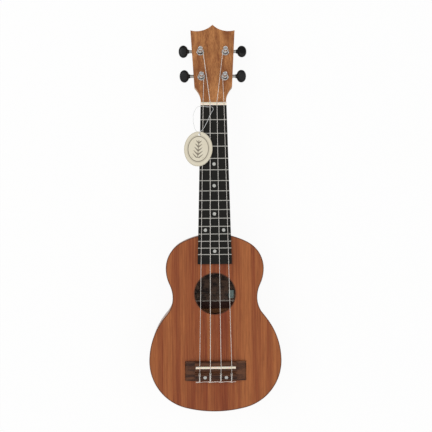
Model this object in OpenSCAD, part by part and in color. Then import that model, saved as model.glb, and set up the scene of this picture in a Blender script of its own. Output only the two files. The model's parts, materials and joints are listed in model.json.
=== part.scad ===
// Soprano ukulele with open-gear tuning machines, lying on its back.
// +X is to the player's right as seen from the front, +Y runs towards the headstock and
// +Z is the way the soundboard faces. The origin is under the middle of the instrument.

/* [Scale and neck] */
// String length from the nut to the nominal bridge line
scale_length = 346; // [338:1:354]
// Number of frets
fret_count = 15; // [14:1:15]
// Width of the neck and fretboard at the nut
nut_width = 35; // [34:0.5:37]
// Width of the fretboard at its body end
fretboard_end_width = 46; // [44:0.5:49]
// Thickness of the fretboard
fretboard_t = 4.5; // [4:0.1:6]
// Length of the fretboard beyond the last fret
fretboard_tail = 13; // [8:1:16]
// Depth of the neck wood at the nut
neck_depth_nut = 13.5; // [12:0.5:16]
// Depth of the neck wood where the heel begins
neck_depth_heel = 15; // [13:0.5:18]
// Length of the flat foot of the heel
heel_foot_length = 17; // [14:1:20]
// Width of the foot of the heel at the body
heel_foot_width = 17; // [12:1:22]
// Length of the curve from the foot up to the neck
heel_curve_length = 25; // [20:1:32]

/* [Nut, frets and strings] */
// Length of the nut along the neck
nut_length = 4.2; // [3.6:0.2:6]
// String height above the fretboard at the nut
nut_action = 1.4; // [1.2:0.1:1.8]
// String height above the fretboard at the saddle
saddle_action = 5.8; // [5:0.1:7]
// Spread of the outer strings at the nut
nut_string_spread = 28; // [26:0.5:29]
// Spread of the outer strings at the saddle
saddle_string_spread = 42.8; // [40:0.5:45]
// Diameter of each string
string_d = 0.7; // [0.5:0.05:0.9]
// Height of the fret crown
fret_height = 1; // [0.8:0.1:1.1]
// Width of the fret crown
fret_width = 1.6; // [1.4:0.1:2.4]
// Diameter of the position dots
dot_d = 4.5; // [3:0.5:5]
// Spread of the two dots at the twelfth fret
twin_dot_spread = 24.6; // [16:0.2:26]

/* [Body] */
// Length of the body behind the saddle
saddle_to_tail = 60; // [56:1:66]
// Depth of the body over both plates
body_depth = 58; // [52:1:64]
// Width of the lower bout
lower_bout_w = 178; // [172:1:184]
// Width of the waist
waist_w = 114; // [110:1:118]
// Width of the upper bout
upper_bout_w = 132; // [128:1:136]
// Distance from the neck end of the body to the widest upper bout
upper_bout_s = 46.5; // [44:0.5:49]
// Distance from the neck end of the body to the waist
waist_s = 86; // [84:0.5:88]
// Distance from the tail to the widest lower bout
lower_bout_to_tail = 68; // [64:0.5:72]
// Thickness of the soundboard
top_t = 2.2; // [1.8:0.1:2.6]
// Thickness of the back plate
back_t = 2.6; // [2:0.1:3]
// Thickness of the ribs
rib_t = 2; // [1.6:0.1:2.4]
// Diameter of the soundhole
soundhole_d = 55; // [50:0.5:58]
// Distance from the neck end of the body to the soundhole centre
soundhole_s = 80.6; // [79:0.2:84]

/* [Inside of the body] */
// Width of the kerfed linings
lining_w = 4.5; // [3:0.5:6]
// Height of the kerfed linings
lining_h = 6; // [4:0.5:8]
// Length of one lining block between saw kerfs
kerf_pitch = 6; // [5:0.5:9]
// Width of a saw kerf in the linings
kerf_w = 1; // [0.6:0.1:1.4]
// Width of the neck block
neck_block_w = 50; // [40:1:60]
// Length of the neck block
neck_block_l = 16; // [12:1:20]
// Width of the tail block
tail_block_w = 56; // [40:1:60]
// Length of the tail block
tail_block_l = 14; // [10:1:16]
// Width of each brace
brace_w = 6; // [4:0.5:8]
// Height of each brace
brace_h = 7; // [5:0.5:9]
// Length of the paper label
label_l = 44; // [36:1:48]
// Width of the paper label
label_w = 66; // [50:1:80]

/* [Bridge] */
// Width of the bridge over its wings
bridge_w = 82; // [76:1:90]
// Length of the bridge along the strings
bridge_l = 26; // [25:0.5:28]
// Thickness of the wings at their roots
wing_root_t = 4; // [3:0.2:5]
// Thickness of the wings at their tips
wing_tip_t = 2.4; // [1.6:0.2:3]
// Width of the raised middle of the bridge
tie_block_w = 56; // [55:0.5:60]
// Length of the tie block
tie_block_l = 9; // [8:0.5:10]
// Height of the tie block
tie_block_h = 8; // [7.6:0.2:8.6]
// Height of the bed that holds the saddle
saddle_bed_h = 6.6; // [6:0.2:7]
// Thickness of the saddle
saddle_t = 3; // [2.4:0.2:3.4]
// Length of the saddle
saddle_l = 53.6; // [52:0.2:54]
// Extra string length at the bridge
compensation = 6; // [4:0.5:7]

/* [Headstock] */
// Backward pitch of the headstock
head_pitch = 12; // [8:0.5:14]
// Length from the nut to the point of the crown
head_length = 112; // [108:1:118]
// Length from the nut to the top corners
head_corner_v = 102.6; // [100:0.2:104]
// Width across the top corners
head_top_w = 60.4; // [58:0.2:64]
// Length from the nut to the shoulders
shoulder_v = 22.7; // [20:0.1:24]
// Width across the shoulders
shoulder_w = 51; // [50:0.5:54]
// Width of the headstock where it leaves the nut
head_root_w = 34; // [32:0.5:35]
// Thickness of the headstock wood
head_t = 11.2; // [10:0.2:13]
// Thickness of the face veneer
veneer_t = 0.8; // [0.6:0.1:1.2]
// Offset of the lowest points of the crown from the centre line
crown_dip_x = 22; // [20:0.5:24]

/* [Tuning machines] */
// Distance from the nut to the lower posts
lower_post_v = 36.4; // [35:0.2:38]
// Distance from the nut to the upper posts
upper_post_v = 72.4; // [71:0.2:74]
// Offset of the lower posts from the centre line
lower_post_x = 15.8; // [15:0.1:16.4]
// Offset of the upper posts from the centre line
upper_post_x = 17; // [16:0.1:17.6]
// Diameter of the string posts
post_d = 5.8; // [5:0.1:6]
// Height of the posts above the headstock face
post_height = 14; // [12:0.5:16]
// Number of teeth on each gear
gear_teeth = 14; // [12:1:15]
// Pitch diameter of each gear
gear_pitch_d = 9; // [8.6:0.1:9.4]
// Thickness of each gear
gear_t = 3; // [2.6:0.1:3.2]
// Pitch diameter of the worms
worm_pitch_d = 4.2; // [4:0.1:4.4]
// Diameter of the knob shafts
shaft_d = 4.4; // [4:0.1:4.6]
// Distance from the post axis to the middle of the knob
knob_reach = 23.3; // [22:0.1:25]
// Length of the knob along its shaft
knob_l = 13.4; // [12:0.2:15]
// Length of the knob across its shaft
knob_w = 17.6; // [15:0.2:18]
// Thickness of the knob
knob_t = 8; // [7:0.2:9]
// Thickness of the steel base plates
plate_t = 1; // [0.8:0.1:1.2]
// Width of the steel base plates
plate_w = 14; // [13:0.2:15]

/* [Hang tag] */
// Width of the oval tag
tag_w = 38; // [32:1:40]
// Length of the oval tag
tag_l = 46.8; // [42:0.2:48]
// Thickness of the tag card
tag_t = 0.8; // [0.5:0.1:1]
// Diameter of the tag thread
thread_d = 0.7; // [0.5:0.1:0.8]

/* [Hidden] */
string_names = ["g", "c", "e", "a"];
tuner_parts = [
  "tuner_plate", "tuner_post", "tuner_gear", "gear_screw",
  "worm_shaft", "tuner_knob", "post_bushing", "string_winding"
];

// Clearances
running_gap = 0.05;
seat_gap = 0.02;
cut_over = 1;

// Colours
sapele = "#97583c";
pale_neck = "#c79f78";
dark_board = "#2d2b29";
rosewood = "#4f3226";
bone = "#e6dac6";
steel = "#b9bbbd";

// Places along the instrument
body_length = scale_length / 2 + compensation + saddle_to_tail;
lower_bout_s = body_length - lower_bout_to_tail;
overall_length = nut_length + head_length * cos(head_pitch) + veneer_t * sin(head_pitch)
  + scale_length / 2 + body_length;
head_y = overall_length / 2 - head_length * cos(head_pitch) - veneer_t * sin(head_pitch);
nut_y = head_y - nut_length;
body_top_y = nut_y - scale_length / 2;
neck_top_z = body_depth;
board_top_z = neck_top_z + fretboard_t;
saddle_y = nut_y - scale_length - compensation;
function body_y(s) = body_top_y - s;
function fret_distance(n) = scale_length * (1 - pow(2, -n / 12));
fretboard_length = fret_distance(fret_count) + fretboard_tail;
function board_width(distance) =
  nut_width + (fretboard_end_width - nut_width) * distance / fretboard_length;

// ---- Body outline: tangent arcs from the tail up to the neck, as right-hand half ----

// How full the curves are: each share sets one radius of a pair, and tangency sets the other
tail_side_share = 0.956;
bout_upper_share = 0.729;
upper_bout_low_share = 0.548;
upper_bout_high_share = 0.86;
arc_step = 3.4;

half_lower = lower_bout_w / 2;
half_waist = waist_w / 2;
half_upper = upper_bout_w / 2;

// Radius of an arc centred on the middle line that ends tangent to a side arc
function end_arc_r(half_w, to_end, side_r) =
  (pow(half_w - side_r, 2) + pow(to_end, 2) - pow(side_r, 2)) / (2 * (to_end - side_r));
// Sum of the two radii of an S curve between two widths
function s_curve_sum(drop, run) = (pow(drop, 2) + pow(run, 2)) / (2 * drop);

low_sum = s_curve_sum(half_lower - half_waist, lower_bout_s - waist_s);
high_sum = s_curve_sum(half_upper - half_waist, waist_s - upper_bout_s);
tail_side_r = tail_side_share * min(half_lower, lower_bout_to_tail);
bout_upper_r = bout_upper_share * low_sum;
waist_low_r = low_sum - bout_upper_r;
upper_bout_low_r = upper_bout_low_share * high_sum;
waist_high_r = high_sum - upper_bout_low_r;
upper_bout_high_r = upper_bout_high_share * min(half_upper, upper_bout_s);
tail_r = end_arc_r(half_lower, lower_bout_to_tail, tail_side_r);
neck_end_r = end_arc_r(half_upper, upper_bout_s, upper_bout_high_r);

tail_c = [0, body_length - tail_r];
side_c = [half_lower - tail_side_r, lower_bout_s];
bout_c = [half_lower - bout_upper_r, lower_bout_s];
waist_low_c = [half_waist + waist_low_r, waist_s];
waist_high_c = [half_waist + waist_high_r, waist_s];
upper_low_c = [half_upper - upper_bout_low_r, upper_bout_s];
upper_high_c = [half_upper - upper_bout_high_r, upper_bout_s];
neck_end_c = [0, neck_end_r];

// Direction from one point to another, in degrees
function heading(from, to) = atan2(to[1] - from[1], to[0] - from[0]);
// Points along an arc whose radius grows by the offset, without its last one
function arc(c, r, offset, a0, a1) =
  let (n = max(2, ceil(abs(a1 - a0) * PI / 180 * r / arc_step)))
  [for (i = [0 : n - 1]) let (a = a0 + (a1 - a0) * i / n) c + (r + offset) * [cos(a), sin(a)]];
// Half outline moved inwards by d, from the tail to the neck end, in [x, s]
function half_outline(d) = concat(
  arc(tail_c, tail_r, -d, 90, heading(tail_c, side_c)),
  arc(side_c, tail_side_r, -d, heading(tail_c, side_c), 0),
  arc(bout_c, bout_upper_r, -d, 0, heading(bout_c, waist_low_c)),
  arc(waist_low_c, waist_low_r, d, heading(waist_low_c, bout_c), 180),
  arc(waist_high_c, waist_high_r, d, 180, heading(waist_high_c, upper_low_c) + 360),
  arc(upper_low_c, upper_bout_low_r, -d, heading(upper_low_c, waist_high_c), 0),
  arc(upper_high_c, upper_bout_high_r, -d, 0, heading(neck_end_c, upper_high_c)),
  arc(neck_end_c, neck_end_r, -d, heading(neck_end_c, upper_high_c), -90),
  [[0, d]]
);
function reversed(list) = [for (i = [len(list) - 1 : -1 : 0]) list[i]];
function placed(points, side) = [for (p = points) [side * p[0], body_y(p[1])]];
function whole_outline(d) =
  let (half = half_outline(d))
  concat(placed(half, 1), placed([for (i = [len(half) - 2 : -1 : 1]) half[i]], -1));

module body_plate(thickness, d = 0) {
  linear_extrude(thickness)
    polygon(whole_outline(d));
}

// ---- Body shell ----

module soundboard() {
  color(sapele)
    translate([0, 0, body_depth - top_t])
      difference() {
        body_plate(top_t);
        translate([0, body_y(soundhole_s), -cut_over])
          cylinder(h = top_t + 2 * cut_over, d = soundhole_d, $fn = 96);
      }
}

module back_plate() {
  color(sapele)
    body_plate(back_t);
}

module rib(side) {
  color("#a98a70")
    translate([0, 0, back_t])
      linear_extrude(body_depth - top_t - back_t)
        polygon(concat(
          placed(half_outline(0), side),
          placed(reversed(half_outline(rib_t)), side)
        ));
}

// ---- Inside the body ----

module end_block(width, s_from, s_to) {
  color(pale_neck)
    translate([0, 0, back_t])
      linear_extrude(body_depth - top_t - back_t)
        intersection() {
          polygon(whole_outline(rib_t));
          translate([-width / 2, body_y(s_to)])
            square([width, s_to - s_from]);
        }
}

// A lining strip with saw kerfs: its inner edge steps in and out along the outline
function along(points, i, t) = points[i] + (points[i + 1] - points[i]) * t;
function comb(outer, inner, web) = [
  for (i = [0 : len(outer) - 2])
    let (
      o = outer[i],
      n = inner[i],
      o_next = outer[i + 1],
      n_next = inner[i + 1],
      seg = norm(o_next - o),
      kerf = min(0.4, kerf_w / max(seg, kerf_w)),
      lip = web / lining_w,
      cut = (i % max(1, round(kerf_pitch / arc_step))) == 0
    )
    each cut
      ? [n, n + (n_next - n) * (0.5 - kerf / 2),
         o + (n - o) * lip + (o_next - o) * (0.5 - kerf / 2),
         o + (n - o) * lip + (o_next - o) * (0.5 + kerf / 2),
         n + (n_next - n) * (0.5 + kerf / 2)]
      : [n]
];

lining_web = 1;
module lining(side) {
  outer = half_outline(rib_t);
  inner = half_outline(rib_t + lining_w);
  linear_extrude(lining_h)
    difference() {
      polygon(concat(placed(outer, side), placed(reversed(comb(outer, inner, lining_web)), side)));
      translate([-neck_block_w / 2, body_y(neck_block_l + rib_t)])
        square([neck_block_w, neck_block_l + 2 * rib_t]);
      translate([-tail_block_w / 2, body_y(body_length)])
        square([tail_block_w, tail_block_l + rib_t]);
    }
}

module linings(z) {
  color("#c49a6c")
    translate([0, 0, z]) {
      lining(1);
      lining(-1);
    }
}

// Half width of the body at a place along it, moved inwards by d
function half_width_at(s, d) =
  let (points = half_outline(d))
  max([for (i = [0 : len(points) - 2])
    let (a = points[i], b = points[i + 1])
    if ((a[1] - s) * (b[1] - s) <= 0 && a[1] != b[1])
      a[0] + (b[0] - a[0]) * (s - a[1]) / (b[1] - a[1])]);

// A cross brace with scooped ends, its foot on z = 0
brace_end_h = 2.5;
brace_scoop = 22;
module brace(s) {
  reach = min(half_width_at(s - brace_w / 2, rib_t + lining_w),
              half_width_at(s + brace_w / 2, rib_t + lining_w)) - cut_over;
  translate([0, body_y(s - brace_w / 2), 0])
    rotate([90, 0, 0])
      linear_extrude(brace_w)
        polygon([
          [-reach, 0], [reach, 0], [reach, brace_end_h], [reach - brace_scoop, brace_h - cut_over],
          [reach - brace_scoop - brace_h, brace_h], [-reach + brace_scoop + brace_h, brace_h],
          [-reach + brace_scoop, brace_h - cut_over], [-reach, brace_end_h]
        ]);
}

hole_edge_gap = 9;
top_brace_s = [soundhole_s - soundhole_d / 2 - hole_edge_gap, soundhole_s + soundhole_d / 2 + hole_edge_gap];
back_brace_s = [36, 108, 178];

module top_braces() {
  color("#d9b98a")
    for (s = top_brace_s)
      translate([0, 0, body_depth - top_t])
        mirror([0, 0, 1])
          brace(s);
}

module back_braces() {
  color("#b07c50")
    for (s = back_brace_s)
      translate([0, 0, back_t])
        brace(s);
}

patch_t = 2;
patch_margin = 8;
module bridge_patch() {
  color("#d9b98a")
    translate([-bridge_w / 2 - patch_margin, bridge_rear_y - patch_margin, body_depth - top_t - patch_t])
      cube([bridge_w + 2 * patch_margin, bridge_l + 2 * patch_margin, patch_t]);
}

label_t = 0.3;
label_gap = 9.5;
module soundhole_label() {
  color("#3c3b3a")
    translate([-label_w / 2, body_y(back_brace_s[1] - brace_w / 2 - label_gap), back_t])
      cube([label_w, label_l, label_t]);
}

// ---- Neck and headstock ----

// A point given in the headstock's own frame: across, along the face and above it
function from_head(p) = [
  p[0],
  head_y + p[1] * cos(head_pitch) + p[2] * sin(head_pitch),
  neck_top_z - p[1] * sin(head_pitch) + p[2] * cos(head_pitch)
];
module in_head_frame() {
  translate([0, head_y, neck_top_z])
    rotate([-head_pitch, 0, 0])
      children();
}

flare_power = 2.2;
function head_half_w(v) = v < shoulder_v
  ? head_root_w / 2 + (shoulder_w - head_root_w) / 2 * pow(max(v, 0) / shoulder_v, flare_power)
  : shoulder_w / 2 + (head_top_w - shoulder_w) / 2 * (v - shoulder_v) / (head_corner_v - shoulder_v);

crown_r = (pow(crown_dip_x, 2) + pow(head_length - head_corner_v, 2)) / (2 * (head_length - head_corner_v));
module crown_cut() {
  for (side = [-1, 1])
    translate([side * crown_dip_x, head_corner_v + crown_r])
      circle(r = crown_r, $fn = 96);
}

// Half of a neck section: from its top edge round to the middle of its back
profile_steps = 10;
heel_flank = 1.5;
function blend(a, b, t) = a + (b - a) * t;
function half_section(half_w, depth, foot, power, heel) = [
  for (i = [0 : profile_steps])
    let (
      a = 90 * i / profile_steps,
      q = i / profile_steps,
      round_x = foot + (half_w - foot) * pow(max(cos(a), 0), 2 / power),
      round_z = depth * pow(sin(a), 2 / power),
      heel_x = foot + (half_w - foot) * pow(1 - q, heel_flank),
      heel_z = depth * q
    )
    [blend(round_x, heel_x, heel), -blend(round_z, heel_z, heel)]
];
function section_ring(half) = concat(half, [for (i = [len(half) - 1 : -1 : 0]) [-half[i][0], half[i][1]]]);

// Neck shaft and heel, at a distance e from the body's end
neck_power = 2.2;
ridge = 0.6;
heel_curve_power = 2.4;
function heel_rise(e) = pow(max(0, min(1, 1 - (e - heel_foot_length) / heel_curve_length)), heel_curve_power);
function shaft_depth(e) = blend(neck_depth_heel, neck_depth_nut, max(0, e) / (scale_length / 2));
function neck_depth_at(e) = blend(shaft_depth(e), neck_top_z, heel_rise(e));
function foot_half(e) = e < heel_foot_length
  ? ridge + (heel_foot_width / 2 - ridge) * sqrt(1 - pow(max(e, 0) / (heel_foot_length + ridge), 2))
  : ridge;
function neck_ring(e) =
  let (half_w = board_width(scale_length / 2 - e) / 2)
  [for (p = section_ring(half_section(half_w, neck_depth_at(e), foot_half(e), neck_power,
                                      pow(heel_rise(e), 0.5))))
    [p[0], body_top_y + e, neck_top_z + p[1]]];

// Headstock, at a distance v beyond the nut
head_square = 9;
function head_ring(v) =
  let (
    t = min(1, max(0, v) / shoulder_v),
    depth = blend(neck_depth_nut, head_t, t),
    power = blend(neck_power, head_square, pow(t, 1.5))
  )
  [for (p = section_ring(half_section(head_half_w(v), depth, ridge, power, 0)))
    from_head([p[0], v, p[1]])];

block_depth = 6;
foot_steps = 5;
curve_steps = 9;
shaft_steps = 5;
flare_steps = 8;
foot_places = [for (i = [0 : foot_steps - 1]) heel_foot_length * sin(90 * i / foot_steps)];
curve_places = [for (i = [0 : curve_steps - 1])
  heel_foot_length + heel_curve_length * pow(i / curve_steps, 1.4)];
shaft_start = heel_foot_length + heel_curve_length;
shaft_places = [for (i = [0 : shaft_steps]) blend(shaft_start, scale_length / 2, i / shaft_steps)];
flare_places = [for (i = [0 : flare_steps]) shoulder_v * i / flare_steps];
side_places = [shoulder_v + 1, head_corner_v, head_length + cut_over];
neck_rings = concat(
  [for (e = concat([-block_depth], foot_places, curve_places, shaft_places)) neck_ring(e)],
  [for (v = concat(flare_places, side_places)) head_ring(v)]
);

// A closed skin through rings of points, with flat ends
module skin(rings) {
  n = len(rings[0]);
  last = len(rings) - 1;
  polyhedron(
    points = [for (r = rings) each r],
    faces = concat(
      [[for (i = [n - 1 : -1 : 0]) i]],
      [for (k = [0 : last - 1]) for (i = [0 : n - 1]) let (j = (i + 1) % n)
        each [[k * n + i, k * n + j, (k + 1) * n + j], [k * n + i, (k + 1) * n + j, (k + 1) * n + i]]],
      [[for (i = [0 : n - 1]) last * n + i]]
    )
  );
}

bushing_tube_d = 8;
bushing_depth = 8;
post_hole_d = 6.6;
module post_holes() {
  in_head_frame()
    for (i = [0 : 3])
      translate([post_side(i) * post_x(i), post_v(i), 0]) {
        translate([0, 0, -bushing_depth])
          cylinder(h = bushing_depth + cut_over + veneer_t, d = bushing_tube_d + 2 * seat_gap, $fn = 48);
        translate([0, 0, -head_t - 2 * cut_over])
          cylinder(h = head_t + 2 * cut_over, d = post_hole_d, $fn = 48);
      }
}

module neck() {
  color(pale_neck)
    difference() {
      skin(neck_rings);
      translate([0, 0, -cut_over])
        body_plate(body_depth + 2 * cut_over);
      in_head_frame()
        translate([0, 0, -head_t - 4 * cut_over])
          linear_extrude(head_t + 8 * cut_over)
            crown_cut();
      post_holes();
      screw_places()
        translate([0, 0, -cut_over])
          cylinder(h = screw_length + cut_over, d = screw_d + 2 * seat_gap, $fn = 24);
    }
}

module headstock_veneer() {
  outline = concat(
    [for (v = flare_places) [head_half_w(v), max(v, 2 * veneer_t * tan(head_pitch))]],
    [[head_half_w(head_length + cut_over), head_length + cut_over]]
  );
  color("#99683f")
    difference() {
      in_head_frame()
        linear_extrude(veneer_t)
          difference() {
            polygon(concat(outline, [for (p = reversed(outline)) [-p[0], p[1]]]));
            crown_cut();
          }
      post_holes();
    }
}

// ---- Fretboard, frets, dots and nut ----

fret_tang_w = 0.6;
fret_tang_h = 2;

module fret_slots() {
  for (n = [1 : fret_count])
    translate([-fretboard_end_width / 2 - cut_over, nut_y - fret_distance(n) - fret_tang_w / 2,
               board_top_z - fret_tang_h - seat_gap])
      cube([fretboard_end_width + 2 * cut_over, fret_tang_w, fret_tang_h + cut_over]);
}

dot_depth = 1.2;
single_dots = [5, 7, 10, 15];
twin_dot_fret = 12;
function dot_y(n) = nut_y - (fret_distance(n - 1) + fret_distance(n)) / 2;
dot_places = concat(
  [for (n = single_dots) if (n <= fret_count) [0, dot_y(n)]],
  [for (side = [-1, 1]) [side * twin_dot_spread / 2, dot_y(twin_dot_fret)]]
);
module dots(places, z, extra = 0) {
  for (p = places)
    translate([p[0], p[1], z - dot_depth])
      cylinder(h = dot_depth + extra, d = dot_d + (extra > 0 ? 2 * seat_gap : 0), $fn = 48);
}

module fretboard() {
  color(dark_board)
    difference() {
      translate([0, 0, neck_top_z])
        linear_extrude(fretboard_t)
          polygon([
            [-board_width(0) / 2, nut_y], [board_width(0) / 2, nut_y],
            [fretboard_end_width / 2, nut_y - fretboard_length],
            [-fretboard_end_width / 2, nut_y - fretboard_length]
          ]);
      fret_slots();
      dots(dot_places, board_top_z, cut_over);
    }
}

fret_crown_r = (pow(fret_width / 2, 2) + pow(fret_height, 2)) / (2 * fret_height);
module fret_profile() {
  intersection() {
    translate([0, fret_height - fret_crown_r])
      circle(r = fret_crown_r, $fn = 48);
    translate([-fret_width / 2, 0])
      square([fret_width, fret_height + cut_over]);
  }
  translate([-fret_tang_w / 2 + seat_gap, -fret_tang_h])
    square([fret_tang_w - 2 * seat_gap, fret_tang_h + fret_height / 2]);
}

module frets() {
  color("silver")
    for (n = [1 : fret_count])
      translate([-board_width(fret_distance(n)) / 2, nut_y - fret_distance(n), board_top_z])
        rotate([90, 0, 90])
          linear_extrude(board_width(fret_distance(n)))
            fret_profile();
}

module position_dots() {
  color("#e9e6dd")
    dots(dot_places, board_top_z);
}

function nut_x(i) = nut_string_spread * (i / 3 - 0.5);
function saddle_x(i) = saddle_string_spread * (i / 3 - 0.5);
string_slope = atan((saddle_action - nut_action) / (scale_length + compensation));
string_nut_z = board_top_z + nut_action;
string_saddle_z = board_top_z + saddle_action;
function string_z(distance) = string_nut_z + distance * tan(string_slope);

nut_crown = 0.9;
slot_over = 0.1;
nut_back_drop = 1.6;
nut_edge_drop = 0.3;
slot_extra_pitch = 4;
module nut() {
  color(bone)
    difference() {
      translate([-nut_width / 2, nut_y, neck_top_z])
        rotate([90, 0, 90])
          linear_extrude(nut_width)
            polygon([
              [0, 0], [nut_length, 0],
              [nut_length, string_nut_z + nut_crown - nut_back_drop - neck_top_z],
              [nut_length * 0.6, string_nut_z + nut_crown - nut_edge_drop - neck_top_z],
              [nut_length * 0.25, string_nut_z + nut_crown - neck_top_z],
              [0, string_nut_z + nut_crown - nut_edge_drop - neck_top_z]
            ]);
      for (i = [0 : 3])
        translate([
          nut_x(i) - string_d / 2 - slot_over, nut_y - cut_over, string_nut_z - string_d / 2 - seat_gap
        ]) {
          cube([string_d + 2 * slot_over, nut_length + 2 * cut_over, fretboard_t]);
          translate([0, nut_length * 0.3 + cut_over, 0])
            rotate([-head_pitch - slot_extra_pitch, 0, 0])
              cube([string_d + 2 * slot_over, nut_length + 2 * cut_over, fretboard_t]);
        }
    }
}

// ---- Bridge ----

saddle_to_front = 8;
bridge_front_y = saddle_y + saddle_to_front;
bridge_rear_y = bridge_front_y - bridge_l;
tie_front_y = bridge_rear_y + tie_block_l;
tie_hole_lift = 1;
tie_hole_z = body_depth + wing_root_t + tie_hole_lift;
tie_hole_d = 1.6;
saddle_slot_depth = 3.6;
saddle_bed_l = 13;
valley_rise = 1.6;
edge_ease = 1.2;
tie_channel_depth = 0.9;
tie_channel_end = 2;
tie_floor_z = body_depth + tie_block_h - tie_channel_depth;

module bridge() {
  color(rosewood)
    difference() {
      union() {
        // Wings, thinner towards their tips
        translate([0, bridge_front_y, body_depth])
          rotate([90, 0, 0])
            linear_extrude(bridge_l)
              polygon([
                [-bridge_w / 2, 0], [bridge_w / 2, 0], [bridge_w / 2, wing_tip_t - edge_ease],
                [bridge_w / 2 - edge_ease, wing_tip_t], [tie_block_w / 2, wing_root_t],
                [-tie_block_w / 2, wing_root_t], [-bridge_w / 2 + edge_ease, wing_tip_t],
                [-bridge_w / 2, wing_tip_t - edge_ease]
              ]);
        // Raised middle: saddle bed in front, valley, tie block behind
        translate([-tie_block_w / 2, bridge_front_y, body_depth])
          rotate([90, 0, 90])
            linear_extrude(tie_block_w)
              polygon([
                [0, 0], [0, saddle_bed_h - 2 * edge_ease], [-edge_ease, saddle_bed_h - edge_ease / 3],
                [-2.5 * edge_ease, saddle_bed_h], [-saddle_bed_l, saddle_bed_h],
                [-bridge_l + tie_block_l + valley_rise, wing_root_t], [-bridge_l + tie_block_l, wing_root_t],
                [-bridge_l + tie_block_l, tie_block_h - edge_ease / 2],
                [-bridge_l + tie_block_l - edge_ease / 2, tie_block_h],
                [-bridge_l + edge_ease, tie_block_h], [-bridge_l, tie_block_h - edge_ease],
                [-bridge_l, 0]
              ]);
      }
      // Slot for the saddle
      translate([-saddle_l / 2 - seat_gap, saddle_y - saddle_t / 2 - seat_gap,
                 body_depth + saddle_bed_h - saddle_slot_depth])
        cube([saddle_l + 2 * seat_gap, saddle_t + 2 * seat_gap, saddle_slot_depth + tie_block_h]);
      // Channel that the string ties lie in
      translate([-tie_block_w / 2 + tie_channel_end, bridge_rear_y + tie_block_l * 0.3, tie_floor_z])
        cube([tie_block_w - 2 * tie_channel_end, tie_block_l * 0.4, tie_block_h]);
      // String holes
      for (i = [0 : 3])
        translate([saddle_x(i), bridge_rear_y - cut_over, tie_hole_z])
          rotate([-90, 0, 0])
            cylinder(h = tie_block_l + 2 * cut_over, d = tie_hole_d, $fn = 24);
      dots(bridge_dot_places, tie_floor_z, cut_over);
    }
}

saddle_round = 0.8;
saddle_top_z = string_saddle_z - string_d / 2 - seat_gap;
module saddle() {
  base_z = body_depth + saddle_bed_h - saddle_slot_depth;
  height = saddle_top_z - base_z;
  color(bone)
    translate([-saddle_l / 2, saddle_y, base_z])
      rotate([90, 0, 90])
        linear_extrude(saddle_l)
          polygon([
            [-saddle_t / 2, 0], [saddle_t / 2, 0], [saddle_t / 2, height - saddle_round],
            [saddle_t / 4, height - saddle_round / 4], [0, height],
            [-saddle_t / 4, height - saddle_round / 4], [-saddle_t / 2, height - saddle_round]
          ]);
}

bridge_dot_y = bridge_rear_y + tie_block_l / 2;
bridge_dot_places = [for (side = [-1, 1]) [side * saddle_string_spread / 3, bridge_dot_y]];
module bridge_dots() {
  color("#e9e6dd")
    dots(bridge_dot_places, tie_floor_z);
}

// ---- Tuning machines ----

function post_side(i) = i < 2 ? -1 : 1;
function is_lower(i) = i == 0 || i == 3;
function post_x(i) = is_lower(i) ? lower_post_x : upper_post_x;
function post_v(i) = is_lower(i) ? lower_post_v : upper_post_v;

// Origin on the post axis at the back of the headstock, +X outwards, +Y to the tip,
// +Z through the headstock to its face
module at_tuner(i) {
  in_head_frame()
    translate([post_side(i) * post_x(i), post_v(i), -head_t])
      mirror([post_side(i) < 0 ? 1 : 0, 0, 0])
        children();
}

// Worm and gear sizes, from the pitch diameters
gear_module = gear_pitch_d / gear_teeth;
worm_lead = PI * gear_module;
tooth_addendum = 0.7 * gear_module;
tooth_dedendum = 0.92 * gear_module;
gear_tip_r = gear_pitch_d / 2 + tooth_addendum;
gear_root_r = gear_pitch_d / 2 - tooth_dedendum;
worm_tip_r = worm_pitch_d / 2 + tooth_addendum;
worm_root_r = worm_pitch_d / 2 - tooth_dedendum;
centre_distance = (gear_pitch_d + worm_pitch_d) / 2;
tooth_share = 0.37;
flank_angle = 20;
helix_twist = worm_lead / worm_pitch_d / PI * gear_t / (gear_pitch_d / 2) * 180 / PI;

worm_to_plate = 0.25;
worm_z = -plate_t - worm_tip_r - worm_to_plate;
gear_bottom_z = worm_z - gear_t / 2;
gear_top_z = worm_z + gear_t / 2;
worm_l = 7.2;
collar_t = 0.9;
ear_in = 5.2;
ear_t = 1;
ear_w = 6.6;
ear_round = ear_w / 2;
inner_journal_d = 2.6;

screw_d = 2;
screw_length = 6;
screw_head_d = 4.8;
screw_head_h = 1.1;
screw_slot_w = 0.7;
lobe_r = 3.6;
tip_lobe_v = 14;
nut_lobe_v = -9.8;
plate_tip_v = 11;
plate_nut_v = -7;

module screw_places() {
  for (i = [0 : 3])
    at_tuner(i)
      for (v = [tip_lobe_v, nut_lobe_v])
        translate([0, v, 0])
          children();
}

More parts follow.
